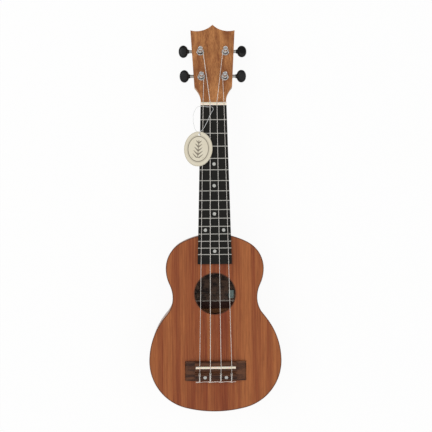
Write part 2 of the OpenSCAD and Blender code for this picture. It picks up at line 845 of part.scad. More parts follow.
module tuner_plate() {
  color(steel)
    difference() {
      union() {
        translate([0, 0, -plate_t])
          linear_extrude(plate_t)
            union() {
              translate([-plate_w / 2, plate_nut_v])
                square([plate_w, plate_tip_v - plate_nut_v]);
              translate([-lobe_r, nut_lobe_v])
                square([2 * lobe_r, tip_lobe_v - nut_lobe_v]);
              translate([0, tip_lobe_v])
                circle(r = lobe_r, $fn = 48);
              translate([0, nut_lobe_v])
                circle(r = lobe_r, $fn = 48);
            }
        // Ears that carry the worm
        for (x = [-ear_in - ear_t, ear_in])
          translate([x, centre_distance, worm_z])
            rotate([90, 0, 90])
              linear_extrude(ear_t)
                union() {
                  circle(r = ear_round, $fn = 48);
                  translate([-ear_round, 0])
                    square([ear_w, -worm_z - plate_t / 2]);
                }
      }
      // Post hole, screw holes and the two shaft bearings
      translate([0, 0, -plate_t - cut_over])
        cylinder(h = plate_t + 2 * cut_over, d = post_d + 2 * running_gap, $fn = 48);
      for (v = [tip_lobe_v, nut_lobe_v])
        translate([0, v, -plate_t - cut_over])
          cylinder(h = plate_t + 2 * cut_over, d = screw_d + 2 * running_gap, $fn = 24);
      translate([ear_in - cut_over, centre_distance, worm_z])
        rotate([0, 90, 0])
          cylinder(h = ear_t + 2 * cut_over, d = shaft_d + 2 * running_gap, $fn = 48);
      translate([-ear_in - ear_t - cut_over, centre_distance, worm_z])
        rotate([0, 90, 0])
          cylinder(h = ear_t + 2 * cut_over, d = inner_journal_d + 2 * running_gap, $fn = 48);
    }
}

post_collar_d = 7;
post_journal_d = 4;
post_top_ease = 0.8;
string_hole_d = 1.6;
string_hole_height = 9.5;
module tuner_post() {
  face = head_t + veneer_t;
  color(steel)
    difference() {
      rotate_extrude($fn = 64)
        polygon([
          [0, gear_bottom_z], [post_journal_d / 2, gear_bottom_z], [post_journal_d / 2, gear_top_z],
          [post_collar_d / 2, gear_top_z], [post_collar_d / 2, -plate_t - running_gap],
          [post_d / 2, -plate_t - running_gap], [post_d / 2, face + post_height - post_top_ease],
          [post_d / 2 - post_top_ease, face + post_height], [0, face + post_height]
        ]);
      translate([0, 0, face + string_hole_height])
        rotate([90, 0, 0])
          cylinder(h = 2 * post_d, d = string_hole_d, center = true, $fn = 32);
      translate([0, 0, gear_bottom_z - cut_over])
        cylinder(h = gear_screw_length + cut_over, d = gear_screw_d + 2 * seat_gap, $fn = 32);
    }
}

// One tooth space either side of each tooth, as a ring of points
function tooth(a) =
  let (
    half = tooth_share * 180 / gear_teeth,
    tip = half - asin(tooth_addendum * tan(flank_angle) / gear_tip_r),
    root = half + asin(tooth_dedendum * tan(flank_angle) / gear_root_r)
  )
  [for (corner = [[-root, gear_root_r], [-tip, gear_tip_r], [tip, gear_tip_r], [root, gear_root_r]])
    corner[1] * [cos(a + corner[0]), sin(a + corner[0])]];

module tuner_gear() {
  color("#b99b52")
    difference() {
      translate([0, 0, gear_bottom_z])
        rotate([0, 0, 90 + 180 / gear_teeth - helix_twist / 2])
          linear_extrude(gear_t, twist = -helix_twist, slices = 3)
            polygon([for (k = [0 : gear_teeth - 1]) each tooth(360 * k / gear_teeth)]);
      translate([0, 0, gear_bottom_z - cut_over])
        cylinder(h = gear_t + 2 * cut_over, d = post_journal_d + 2 * seat_gap, $fn = 48);
    }
}

gear_screw_d = 2.4;
gear_screw_length = 4;
gear_screw_head_d = 5.6;
gear_screw_head_t = 1;
driver_recess_d = 2.6;
module gear_screw() {
  color("#2a2826")
    difference() {
      union() {
        translate([0, 0, gear_bottom_z - gear_screw_head_t])
          cylinder(h = gear_screw_head_t, d1 = gear_screw_head_d - 1, d2 = gear_screw_head_d, $fn = 48);
        translate([0, 0, gear_bottom_z - gear_screw_head_t / 2])
          cylinder(h = gear_screw_length, d = gear_screw_d, $fn = 32);
      }
      translate([0, 0, gear_bottom_z - gear_screw_head_t - cut_over])
        cylinder(h = gear_screw_head_t * 0.6 + cut_over, d = driver_recess_d, $fn = 6);
    }
}

// Worm thread as a twisted section, between two plain collars
crest_half = tooth_share * 180 - 360 * tooth_addendum * tan(flank_angle) / worm_lead;
root_half = tooth_share * 180 + 360 * tooth_dedendum * tan(flank_angle) / worm_lead;
function polar(r, a) = r * [cos(a), sin(a)];
thread_section = concat(
  [for (k = [-3, -1, 1, 3]) polar(worm_tip_r, crest_half * k / 3)],
  [polar((worm_tip_r + worm_root_r) / 2, (crest_half + root_half) / 2)],
  [for (k = [0 : 4]) polar(worm_root_r, root_half + (360 - 2 * root_half) * k / 4)],
  [polar((worm_tip_r + worm_root_r) / 2, -(crest_half + root_half) / 2)]
);
slices_per_turn = 14;
shaft_outer_x = knob_reach - knob_l / 2 + 6;
collar_bite = 0.2;
module worm_shaft() {
  turns = worm_l / worm_lead;
  color("silver")
    translate([0, centre_distance, worm_z])
      rotate([0, 90, 0])
        union() {
          translate([0, 0, -worm_l / 2])
            rotate([0, 0, -90 - 180 * turns])
              linear_extrude(worm_l, twist = -360 * turns, slices = ceil(turns * slices_per_turn))
                polygon(thread_section);
          for (z = [-worm_l / 2 - collar_t, worm_l / 2 - collar_bite])
            translate([0, 0, z])
              cylinder(h = collar_t + collar_bite, r = worm_tip_r + running_gap, $fn = 48);
          translate([0, 0, -ear_in - ear_t - 0.6])
            cylinder(h = ear_in + ear_t + 0.6 - worm_l / 2 - collar_t / 2, d = inner_journal_d, $fn = 48);
          translate([0, 0, worm_l / 2 + collar_t / 2])
            cylinder(h = shaft_outer_x - worm_l / 2 - collar_t / 2, d = shaft_d, $fn = 48);
        }
}

// Rest angle of each knob about its shaft
knob_angles = [28, 12, -8, 24];
knob_rings = 8;
knob_points = 24;
knob_bulge = 2.6;
knob_neck_d = 6.4;
knob_neck_l = 2.4;
function super_round(a, power) = [
  sign(cos(a)) * pow(abs(cos(a)), 2 / power),
  sign(sin(a)) * pow(abs(sin(a)), 2 / power)
];
module tuner_knob(i) {
  rings = [for (k = [1 : knob_rings - 1])
    let (lift = super_round(-90 + 180 * k / knob_rings, knob_bulge))
    [for (j = [0 : knob_points - 1])
      let (p = super_round(-360 * j / knob_points, 2.1))
      [knob_l / 2 * lift[0] * p[0], knob_w / 2 * lift[0] * p[1], knob_t / 2 * lift[1]]]];
  color("#2b2b2c")
    difference() {
      translate([0, centre_distance, worm_z])
        rotate([knob_angles[i], 0, 0])
          union() {
            translate([knob_reach, 0, 0])
              skin(rings);
            translate([knob_reach - knob_l / 2 - knob_neck_l + 1, 0, 0])
              rotate([0, 90, 0])
                cylinder(h = knob_neck_l + 1.6, d1 = knob_neck_d - 1, d2 = knob_neck_d, $fn = 48);
          }
      translate([0, centre_distance, worm_z])
        rotate([0, 90, 0])
          cylinder(h = shaft_outer_x + seat_gap, d = shaft_d + 2 * seat_gap, $fn = 48);
    }
}

bushing_flange_d = 10.6;
bushing_flange_t = 1.4;
module post_bushing() {
  color("#d0d1d2")
    translate([0, 0, head_t + veneer_t])
      rotate_extrude($fn = 64)
        polygon([
          [post_d / 2 + running_gap, -bushing_depth + cut_over - veneer_t],
          [bushing_tube_d / 2, -bushing_depth + cut_over - veneer_t], [bushing_tube_d / 2, 0],
          [bushing_flange_d / 2, 0], [bushing_flange_d / 2, bushing_flange_t * 0.4],
          [bushing_flange_d / 2 - 0.7, bushing_flange_t], [post_d / 2 + running_gap + 0.5, bushing_flange_t],
          [post_d / 2 + running_gap, bushing_flange_t - 0.4]
        ]);
}

winding_turns = 3;
winding_height = 5.2;
winding_r = post_d / 2 + string_d / 2 + seat_gap;
module string_winding() {
  color("#e8e6e0")
    translate([0, 0, head_t + veneer_t + winding_height])
      for (k = [0 : winding_turns - 1])
        translate([0, 0, k * (string_d + seat_gap)])
          rotate_extrude($fn = 64)
            translate([winding_r, 0])
              circle(d = string_d, $fn = 24);
}

module tuner_screws() {
  color(steel)
    screw_places()
      difference() {
        union() {
          translate([0, 0, -plate_t - screw_head_h])
            cylinder(h = screw_head_h, d1 = screw_head_d - 1.4, d2 = screw_head_d, $fn = 48);
          translate([0, 0, -plate_t - screw_head_h / 2])
            cylinder(h = screw_length + plate_t, d = screw_d, $fn = 24);
        }
        translate([-screw_head_d, -screw_slot_w / 2, -plate_t - screw_head_h - cut_over])
          cube([2 * screw_head_d, screw_slot_w, cut_over + screw_head_h / 2]);
      }
}

// ---- Strings ----

// Rings of a thin round tube along a path; side is a vector roughly across the path
function unit(v) = v / norm(v);
function path_heading(path, i) = unit(path[min(i + 1, len(path) - 1)] - path[max(i - 1, 0)]);
function tube_ring(c, dir, side, r, sides) =
  let (
    across = unit(side - dir * (side * dir)),
    up = cross(dir, across)
  )
  [for (k = [0 : sides - 1])
    c + r * (cos(360 * k / sides) * across + sin(360 * k / sides) * up)];
module tube(path, d, side) {
  skin([for (i = [0 : len(path) - 1]) reversed(tube_ring(path[i], path_heading(path, i), side, d / 2, 8))]);
}

// Where a string leaves its winding, in the headstock's frame with the centre line at x = 0
winding_stop = 0.1;
function winding_exit(i) =
  let (
    start = [abs(nut_x(i)), -nut_action],
    centre = [post_x(i), post_v(i)],
    reach = norm(centre - start),
    tangent = sqrt(pow(reach, 2) - pow(winding_r, 2)),
    stop = sqrt(pow(winding_r + string_d + winding_stop, 2) - pow(winding_r, 2)),
    a = heading(start, centre) + asin(winding_r / reach),
    p = start + (tangent - stop) * [cos(a), sin(a)]
  )
  [post_side(i) * p[0], p[1], veneer_t + winding_height];

loop_out = 0.9;
function string_path(i) =
  let (
    nx = nut_x(i),
    sx = saddle_x(i),
    block_z = body_depth + tie_block_h,
    over = string_d / 2 + 0.1
  )
  [
    from_head(winding_exit(i)),
    [nx, head_y + 0.2, string_nut_z - 0.25],
    [nx, head_y - nut_length * 0.6, string_nut_z],
    [nx, nut_y, string_nut_z],
    [sx, saddle_y + saddle_t / 4, string_saddle_z],
    [sx, saddle_y - saddle_t / 4, string_saddle_z - 0.05],
    [sx, tie_front_y + 1.6, tie_hole_z + 0.5],
    [sx, tie_front_y + 0.4, tie_hole_z],
    [sx, bridge_rear_y - 0.2, tie_hole_z],
    [sx, bridge_rear_y - loop_out * 0.8, tie_hole_z + 0.4],
    [sx, bridge_rear_y - loop_out, tie_hole_z + 1.2],
    [sx, bridge_rear_y - loop_out + 0.2, block_z - 0.8],
    [sx, bridge_rear_y + 0.2, block_z + over - 0.3],
    [sx, bridge_rear_y + 1.2, block_z + over],
    [sx + 0.2, tie_front_y - 1.2, block_z + over],
    [sx + 0.5, tie_front_y + 0.3, block_z + over - 0.5],
    [sx + 0.8, tie_front_y + 0.9, block_z - 1.2],
    [sx + 1, tie_front_y + 0.9, tie_hole_z + 1.4]
  ];
module ukulele_string(i) {
  color("#e8e6e0")
    tube(string_path(i), string_d, [1, 0, 0]);
}

// ---- Hang tag and its thread ----

// Middle and hole of the tag, measured from the middle of the nut's front edge
tag_place = [-21, -58.9];
tag_turn = -5;
tag_hole_d = 3;
tag_hole_in = 4;
tag_lift = string_z(-tag_place[1]) + string_d / 2 + 0.1;
tag_hole_from_middle = tag_l / 2 - tag_hole_in;
module in_tag_frame() {
  translate([tag_place[0], nut_y + tag_place[1], tag_lift])
    rotate([-string_slope, 0, 0])
      rotate([0, 0, tag_turn])
        children();
}
tag_points = 64;
module hang_tag() {
  color("#cabfa8")
    in_tag_frame()
      linear_extrude(tag_t)
        difference() {
          polygon([for (k = [0 : tag_points - 1])
            [tag_w / 2 * cos(360 * k / tag_points), tag_l / 2 * sin(360 * k / tag_points)]]);
          translate([0, tag_hole_from_middle])
            circle(d = tag_hole_d, $fn = 32);
        }
}

// Route of the thread, from the middle of the nut's front edge and the fretboard's face:
// up through the tag, over two strings, back under them and round the neck's edge
thread_route = [
  [-19.2, -39.7, 3],
  [-18.3, -36, 4.6],
  [-14, -32, 4.4],
  [-9, -23, 3.6],
  [-5, -14, 3],
  [-1.5, -8, 2.2],
  [-0.4, -5, 1.2],
  [-1.6, -2.8, 0.5],
  [-5, -2.2, 0.4],
  [-11, -2, 0.4],
  [-16, -1.4, 0.4],
  [-20, -1.8, 0.3],
  [-24, -5, -0.2],
  [-27, -12, -0.8],
  [-27.4, -22, -0.6],
  [-25, -32, 0.2],
  [-21, -37, 1.2],
  [-19.4, -39.6, 2.4]
];
thread_splits = 4;
function spline(p, q, r, s, t) = 0.5 * (2 * q + (r - p) * t + (2 * p - 5 * q + 4 * r - s) * t * t
  + (3 * q - p - 3 * r + s) * t * t * t);
function smooth_route(route) =
  let (last = len(route) - 1)
  concat(
    [for (i = [0 : last - 1]) for (k = [0 : thread_splits - 1])
      spline(route[max(i - 1, 0)], route[i], route[i + 1], route[min(i + 2, last)], k / thread_splits)],
    [route[last]]
  );
module tag_thread() {
  color("#dfe3e2")
    translate([0, nut_y, board_top_z])
      tube(smooth_route(thread_route), thread_d, [0, 0, 1]);
}

// ---- What is drawn ----

soundboard();
back_plate();
rib(-1);  // rib_left
rib(1);  // rib_right
end_block(neck_block_w, 0, neck_block_l + rib_t);  // neck_block
end_block(tail_block_w, body_length - tail_block_l - rib_t, body_length);  // tail_block
linings(body_depth - top_t - lining_h);  // top_linings
linings(back_t);  // back_linings
top_braces();
back_braces();
bridge_patch();
soundhole_label();
neck();
headstock_veneer();
fretboard();
frets();
position_dots();
nut();
bridge();
saddle();
bridge_dots();
tuner_screws();
hang_tag();
tag_thread();
for (i = [0 : 3]) {
  name = string_names[i];
  ukulele_string(i);
  at_tuner(i) tuner_plate();
  at_tuner(i) tuner_post();
  at_tuner(i) tuner_gear();
  at_tuner(i) gear_screw();
  at_tuner(i) worm_shaft();
  at_tuner(i) tuner_knob(i);
  at_tuner(i) post_bushing();
  at_tuner(i) string_winding();
}
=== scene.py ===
"""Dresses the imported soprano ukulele: a finish for every piece, its strings with their ties and
windings, the hang tag with its thread, and the studio that it lies in."""

import json
import math

import bpy
from mathutils import Matrix, Vector


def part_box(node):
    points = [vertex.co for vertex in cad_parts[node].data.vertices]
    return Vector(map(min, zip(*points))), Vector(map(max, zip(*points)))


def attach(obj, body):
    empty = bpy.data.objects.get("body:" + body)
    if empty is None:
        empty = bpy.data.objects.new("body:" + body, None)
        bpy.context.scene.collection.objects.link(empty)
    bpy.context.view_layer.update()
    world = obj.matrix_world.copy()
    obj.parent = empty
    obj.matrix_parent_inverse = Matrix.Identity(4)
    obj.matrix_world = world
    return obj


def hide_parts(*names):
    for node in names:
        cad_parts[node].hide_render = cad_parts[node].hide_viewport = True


bl_info = {
    "name": "Soprano ukulele",
    "version": (1, 0, 0),
    "blender": (4, 5, 0),
    "location": "View3D > Sidebar > Ukulele",
    "description": "Finishes, strings and lights a soprano ukulele built round its fixed frame",
    "category": "Add Mesh",
}

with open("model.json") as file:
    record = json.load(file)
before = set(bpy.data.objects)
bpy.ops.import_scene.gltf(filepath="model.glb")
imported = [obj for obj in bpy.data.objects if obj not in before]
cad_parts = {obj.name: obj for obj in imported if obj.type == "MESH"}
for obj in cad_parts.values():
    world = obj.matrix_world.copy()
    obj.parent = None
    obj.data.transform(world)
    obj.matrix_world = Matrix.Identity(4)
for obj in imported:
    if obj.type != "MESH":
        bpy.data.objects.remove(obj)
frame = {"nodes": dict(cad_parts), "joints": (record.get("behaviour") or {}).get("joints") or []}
NODES = frame["nodes"]
BODY = "ukulele"
COURSES = ("g", "c", "e", "a")
SIDE = {"g": -1, "c": -1, "e": 1, "a": 1}
JOINT_AT = {j["name"]: Vector(j["pos_m"]) for j in frame["joints"]}

# Places read from the frame, in metres
NUT_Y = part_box("nut")[0].y
HEAD_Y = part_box("nut")[1].y
FACE_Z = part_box("fretboard")[0].z
BOARD_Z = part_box("fretboard")[1].z
SADDLE_Y = (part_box("saddle")[0].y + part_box("saddle")[1].y) / 2
SADDLE_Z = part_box("saddle")[1].z
BRIDGE_REAR_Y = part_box("bridge")[0].y
TIE_TOP_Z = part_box("bridge")[1].z

# Sizes of the frame's pieces that the strings follow, in metres
TIE_BLOCK_L = 0.009
TIE_HOLE_Z = FACE_Z + 0.005
NUT_SPREAD = 0.028
SADDLE_SPREAD = 0.0428
NUT_ACTION = 0.0014
HEAD_PITCH = math.radians(12)
VENEER_T = 0.0008
WINDING_Z = VENEER_T + 0.0052
STRING_HOLE_Z = VENEER_T + 0.0095
POST_R = 0.0029

WHITE = (1, 1, 1, 1)


def paint(code):
    """Linear colour of a six-digit paint code."""
    parts = [int(code[i : i + 2], 16) / 255 for i in (0, 2, 4)]
    return tuple(c / 12.92 if c <= 0.04045 else ((c + 0.055) / 1.055) ** 2.4 for c in parts)


def shaded(tint, *shares):
    """A colour times one share, or times a share for each of red, green and blue."""
    return [c * k for c, k in zip(tint, shares * 3 if len(shares) == 1 else shares)]


def colour(name, description, code):
    return bpy.props.FloatVectorProperty(
        name=name, description=description, default=paint(code), subtype="COLOR", size=3, min=0, max=1
    )


def length(name, description, default):
    return bpy.props.FloatProperty(
        name=name, description=description, default=default, min=0, unit="LENGTH", precision=5
    )


def amount(name, description, default, low=0, unit="NONE"):
    return bpy.props.FloatProperty(name=name, description=description, default=default, min=low, unit=unit)


class UkuleleWoods(bpy.types.PropertyGroup):
    top_light: colour("Top light", "Light stripes of the soundboard", "ac6637")
    top_dark: colour("Top dark", "Dark stripes of the soundboard", "782c12")
    back_light: colour("Back light", "Light stripes of the back plate", "a4582c")
    back_dark: colour("Back dark", "Dark stripes of the back plate", "68240d")
    side_light: colour("Sides", "Wood of the ribs", "a87a55")
    side_dark: colour("Sides dark", "Darker streaks of the ribs", "84563a")
    neck_light: colour("Neck light", "Light wood of the neck", "cca37b")
    neck_dark: colour("Neck dark", "Darker streaks of the neck", "b08259")
    veneer_light: colour("Headstock light", "Light streaks of the headstock's face", "c98a54")
    veneer_dark: colour("Headstock dark", "Dark streaks of the headstock's face", "8f5530")
    fretboard: colour("Fretboard", "Dyed wood of the fretboard", "191816")
    bridge_light: colour("Bridge light", "Light streaks of the bridge", "6a422a")
    bridge_dark: colour("Bridge dark", "Dark streaks of the bridge", "31190f")
    raw_wood: colour("Raw wood", "Unfinished wood inside the body", "a77f56")


class UkuleleStringing(bpy.types.PropertyGroup):
    nylon: colour("Nylon", "Colour of the strings", "fffaf3")
    thin: length("Thin strings", "Diameter of the two outer strings", 0.00064)
    middle: length("Middle string", "Diameter of the E string", 0.00072)
    thick: length("Thick string", "Diameter of the C string", 0.00084)
    turns: amount("Turns", "Turns of each string round its post", 1.7, low=1)
    coil_pitch: length("Coil pitch", "Rise of the winding in one turn", 0.00078)
    tail: length("Tail", "Length of each string's tail at the bridge", 0.0135)


class UkuleleTag(bpy.types.PropertyGroup):
    card: colour("Card", "Face of the hang tag", "e0d8c3")
    print_ink: colour("Ink", "Printed rings and sprig on the tag", "5f5344")
    thread: colour("Thread", "Clear thread of the tag", "f6f8f8")
    thread_d: length("Thread diameter", "Thickness of the tag's thread", 0.0006)


class UkuleleStudio(bpy.types.PropertyGroup):
    distance: length("Camera height", "Height of the camera over the face", 1.3)
    view_width: length("View width", "Width of the view at the face", 0.5801)
    floor: colour("Floor", "Pale studio floor", "f4f3f1")
    key_power: amount("Key lamp", "Power of the large lamp on the left", 6.0, unit="POWER")
    fill_power: amount("Fill lamp", "Power of the lamp on the right", 1.9, unit="POWER")
    sky: amount("Sky", "Strength of the even light overhead", 1.13)


# ---- Building finishes ----


class Wiring:
    """Adds nodes to a node tree and joins them."""

    def __init__(self, tree):
        self.tree = tree

    def add(self, kind, inputs=None, **settings):
        node = self.tree.nodes.new("ShaderNode" + kind)
        for setting, value in settings.items():
            setattr(node, setting, value)
        for key, value in (inputs or {}).items():
            self.feed(node.inputs[key], value)
        return node

    def feed(self, socket, value):
        if isinstance(value, bpy.types.NodeSocket):
            self.tree.links.new(value, socket)
        else:
            socket.default_value = value

    def calc(self, operation, a, b=0.0, clamp=False):
        return self.add("Math", {0: a, 1: b}, operation=operation, use_clamp=clamp).outputs[0]

    def spread(self, value, low, high, to_low=0.0, to_high=1.0, smooth=True):
        """The value moved from one range to another, and held at its ends."""
        return self.add(
            "MapRange",
            {"Value": value, "From Min": low, "From Max": high, "To Min": to_low, "To Max": to_high},
            interpolation_type="SMOOTHSTEP" if smooth else "LINEAR",
        ).outputs["Result"]

    def parts(self, vector):
        return self.add("SeparateXYZ", {"Vector": vector}).outputs

    def blend(self, share, a, b):
        return self.add("MixShader", {0: share, 1: a, 2: b}).outputs[0]


class Finish(Wiring):
    """A procedural finish: one Principled shader and the nodes that feed it."""

    def __init__(self, name, **sockets):
        self.material = bpy.data.materials.new(name)
        self.material.use_nodes = True
        super().__init__(self.material.node_tree)
        self.shader = self.tree.nodes["Principled BSDF"]
        for socket, value in sockets.items():
            self.shader.inputs[socket.replace("_", " ").title().replace("Ior", "IOR")].default_value = value
        self.place = self.add("TexCoord").outputs["Object"]

    def stretched(self, x, y, z, offset=(0, 0, 0), place=None):
        """Coordinates scaled by waves per metre along each axis."""
        return self.add(
            "Mapping", {"Vector": place or self.place, "Scale": (x, y, z), "Location": offset}
        ).outputs["Vector"]

    def noise(self, vector, detail=2.0, roughness=0.5, distortion=0.0):
        node = self.add("TexNoise", {"Vector": vector, "Scale": 1.0, "Detail": detail})
        self.feed(node.inputs["Roughness"], roughness)
        self.feed(node.inputs["Distortion"], distortion)
        return node.outputs["Fac"]

    def ramp(self, value, stops):
        """A grey tone that eases from stop to stop."""
        node = self.add("ValToRGB", {"Fac": value})
        node.color_ramp.interpolation = "EASE"
        while len(node.color_ramp.elements) < len(stops):
            node.color_ramp.elements.new(0.5)
        for element, (position, tone) in zip(node.color_ramp.elements, stops):
            element.position = position
            element.color = (tone, tone, tone, 1)
        return node.outputs["Color"]

    def mix(self, share, a, b, blend="MIX"):
        node = self.add("Mix", data_type="RGBA", blend_type=blend)
        for socket, value in ((node.inputs[0], share), (node.inputs[6], a), (node.inputs[7], b)):
            if not isinstance(value, (bpy.types.NodeSocket, int, float)):
                value = (*value[:3], 1)
            self.feed(socket, value)
        return node.outputs[2]

    def bump(self, height, distance, strength):
        node = self.add("Bump", {"Height": height, "Distance": distance, "Strength": strength})
        return node.outputs["Normal"]

    def done(self, colour=None, roughness=None, normal=None):
        for socket, value in (("Base Color", colour), ("Roughness", roughness), ("Normal", normal)):
            if value is not None:
                self.feed(self.shader.inputs[socket], value)
        return self.material


def grained_wood(name, light, dark, stripe, seed, streaks=None, roughness=0.45, pores=0.5,
                 contrast=1.0, gloss=0.22, edge=None, inside=None):
    """Straight-grained wood. stripe is the stripes' waves per metre along x, y and z, and streaks
    are (place across the grain in metres, tone) pairs that set the broad stripes. edge is the
    colour of cut edges, also used as painted shade in a band along the rim of the face, and inside
    is the height and colour of painted shade on a plate's inner face."""
    f = Finish(name, roughness=roughness, specular_ior_level=gloss)
    sx, sy, sz = stripe

    def swing(value, middle, gain):
        return f.calc("MULTIPLY", f.calc("SUBTRACT", value, middle), gain)

    wander = swing(f.noise(f.stretched(5, 4, 5, (seed, 0, 0))), 0.5, 0.012)
    x, y, z = f.parts(f.place)[:3]
    bent = f.add("CombineXYZ", {0: f.calc("ADD", x, wander), 1: y, 2: z}).outputs[0]

    def along_grain(across, along, offset, detail, rough):
        return f.noise(f.stretched(sx * across, sy * along, sz * across, offset, bent), detail, rough)

    broad = along_grain(1, 1, (seed, seed, seed), 2.5, 0.55)
    narrow = along_grain(6, 1.4, (seed, 0, seed), 3, 0.65)
    fibre = along_grain(14, 7, (0, seed, 0), 4, 0.7)
    pore = along_grain(50, 30, (seed, 0, 0), 2, 0.5)
    fleck = along_grain(11, 22, (seed, 5, seed), 3, 0.6)
    flame = f.noise(f.stretched(sx * 0.8, max(sy, 1) * 9, sz * 0.8, (0, 0, seed)))
    if streaks:
        low, high = streaks[0][0], streaks[-1][0]
        place = f.spread(f.calc("ADD", x, f.calc("MULTIPLY", wander, 0.45)), low, high, smooth=False)
        stops = [((p - low) / (high - low), t) for p, t in streaks]
        tone = f.calc("ADD", f.calc("MULTIPLY", f.ramp(place, stops), 0.86), swing(broad, 0.3, 0.35))
    else:
        tone = f.spread(broad, 0.28, 0.72)
    tone = f.calc("ADD", tone, swing(narrow, 0.5, 1.3 * contrast))
    tone = f.calc("ADD", tone, swing(fibre, 0.5, 1.3 * contrast))
    tone = f.calc("ADD", tone, swing(flame, 0.5, 0.15 * contrast), clamp=True)
    wood = f.mix(tone, dark, light)
    dimmed = f.mix(1.0, wood, (0.6, 0.57, 0.55), "MULTIPLY")
    wood = f.mix(f.spread(fleck, 0.34, 0.68, 0, 0.42 * contrast), wood, dimmed)
    holes = f.spread(pore, 0.62, 0.74, 0, pores)
    wood = f.mix(holes, wood, shaded(dark, 0.45))
    if edge:
        # The sides and rounded edges take the darker colour of the cut plywood. The band along the rim of
        # the face, found by ambient occlusion inside the plate, is painted shade.
        normal = f.add("NewGeometry").outputs["True Normal"]
        up = f.calc("ABSOLUTE", f.parts(normal)[2])
        probe = f.add("AmbientOcclusion", {"Distance": 0.002}, samples=12, inside=True, only_local=True)
        painted_rim_shade = f.spread(probe.outputs["AO"], 0.97, 0.72, 0, 0.75)
        rim = f.calc("MAXIMUM", f.spread(up, 0.97, 0.6, 0, 0.9), painted_rim_shade)
        wood = f.mix(rim, wood, edge)
    if inside:
        # Painted shade: the plate's inner face, above the given height, takes a dark colour that stands for
        # the shadow inside the body.
        height, raw_wood_and_inner_shade = inside
        painted_inner_shade = f.mix(tone, shaded(raw_wood_and_inner_shade, 0.5), raw_wood_and_inner_shade)
        wood = f.mix(f.spread(z, height - 0.0006, height - 0.0003), wood, painted_inner_shade)
    handled = f.noise(f.stretched(22, 22, 22, (seed, 3, 1)), detail=3)
    rough = f.calc("ADD", roughness - 0.08, f.calc("MULTIPLY", holes, 0.3))
    rough = f.calc("ADD", f.calc("MULTIPLY", handled, 0.16), rough)
    height = f.calc("SUBTRACT", f.calc("MULTIPLY", fibre, 0.4), holes)
    return f.done(wood, rough, f.bump(height, 0.00012, 0.35))


def bright_metal(name, tint, roughness=0.2, brushed=(2200, 2200, 2200), tarnish=None, painted_corner_shade=None):
    """Plated or polished metal with fine scratches, smudges and darker tarnish in patches.
    brushed is the scratches' waves per metre, and the last argument is the colour of painted shade
    in its corners."""
    f = Finish(name, metallic=1.0, roughness=roughness)
    smudge = f.noise(f.stretched(140, 140, 140), detail=4, roughness=0.6)
    fine = f.noise(f.stretched(*brushed))
    shade = f.mix(f.spread(smudge, 0.45, 0.8, 0, 0.45), tint, tarnish or shaded(tint, 0.6))
    rough = f.spread(smudge, 0.3, 0.75, roughness * 0.7, roughness * 1.6)
    rough = f.calc("ADD", rough, f.calc("MULTIPLY", fine, 0.06))
    # Painted shade: where ambient occlusion finds neighbouring parts close by, the colour darkens towards
    # the given shade colour.
    if painted_corner_shade:
        open_sky = f.add("AmbientOcclusion", {"Distance": 0.006}, samples=12).outputs["AO"]
        shade = f.mix(f.spread(open_sky, 0.85, 0.35, 0, 0.9), shade, painted_corner_shade)
    return f.done(shade, rough, f.bump(fine, 0.00002, 0.25))


def bone_like(name, tint, roughness=0.35):
    """Bone or bone-coloured plastic: faint clouds and pores, and a little light under its surface."""
    f = Finish(name, roughness=roughness, subsurface_weight=0.15, subsurface_scale=0.001)
    cloud = f.noise(f.stretched(120, 90, 120), detail=3)
    speck = f.noise(f.stretched(700, 500, 700))
    shade = f.mix(f.spread(cloud, 0.35, 0.75, 0, 0.5), tint, shaded(tint, 0.93, 0.88, 0.8))
    shade = f.mix(f.spread(speck, 0.64, 0.8, 0, 0.12), shade, shaded(tint, 0.7))
    rough = f.spread(cloud, 0.2, 0.8, roughness - 0.06, roughness + 0.1)
    return f.done(shade, rough, f.bump(speck, 0.00002, 0.15))


def pearl(name):
    f = Finish(name, roughness=0.25, coat_weight=0.3, coat_roughness=0.15)
    swirl = f.noise(f.stretched(420, 420, 420), detail=3, distortion=1.5)
    shade = f.mix(f.spread(swirl, 0.3, 0.7), paint("c6c3ba"), paint("a1a5a3"))
    return f.done(shade, f.spread(swirl, 0.2, 0.8, 0.18, 0.34), f.bump(swirl, 0.00002, 0.2))


def black_plastic(name, tint):
    """Moulded plastic with a fine satin texture, worn a little brighter where it is gripped."""
    f = Finish(name, roughness=0.42, specular_ior_level=0.28)
    wear = f.noise(f.stretched(90, 90, 90), detail=5, roughness=0.65)
    grit = f.noise(f.stretched(1800, 1800, 1800))
    shade = f.mix(f.spread(wear, 0.5, 0.85, 0, 0.35), tint, [c * 1.9 + 0.004 for c in tint])
    return f.done(shade, f.spread(wear, 0.3, 0.8, 0.34, 0.52), f.bump(grit, 0.00003, 0.35))


def nylon(name, tint):
    """Clear to milky nylon: smooth, glossy and a little see-through."""
    f = Finish(name, roughness=0.25, ior=1.53, transmission_weight=0.35)
    draw = f.noise(f.stretched(900, 30, 900))
    shade = f.mix(f.spread(draw, 0.3, 0.7, 0, 0.35), tint, shaded(tint, 0.9))
    return f.done(shade, f.spread(draw, 0.2, 0.8, 0.18, 0.3), f.bump(draw, 0.00001, 0.2))


# ---- Shapes ----


def wear_finish(finish, *nodes):
    """Gives pieces of the frame their finish."""
    for node in nodes:
        mesh = NODES[node].data
        mesh.materials.clear()
        mesh.materials.append(finish)


def welded(node):
    """A frame piece with its split faces joined again."""
    piece = NODES[node]
    piece.modifiers.new("Join faces", "WELD").merge_threshold = 1e-6
    return piece


def soften(node, width, segments=2):
    """Eases a frame piece's sharp edges, as sanding or deburring would."""
    bevel = welded(node).modifiers.new("Eased edges", "BEVEL")
    bevel.width = width
    bevel.segments = segments
    bevel.limit_method = "ANGLE"
    bevel.angle_limit = math.radians(35)
    bevel.use_clamp_overlap = True
    bevel.harden_normals = True


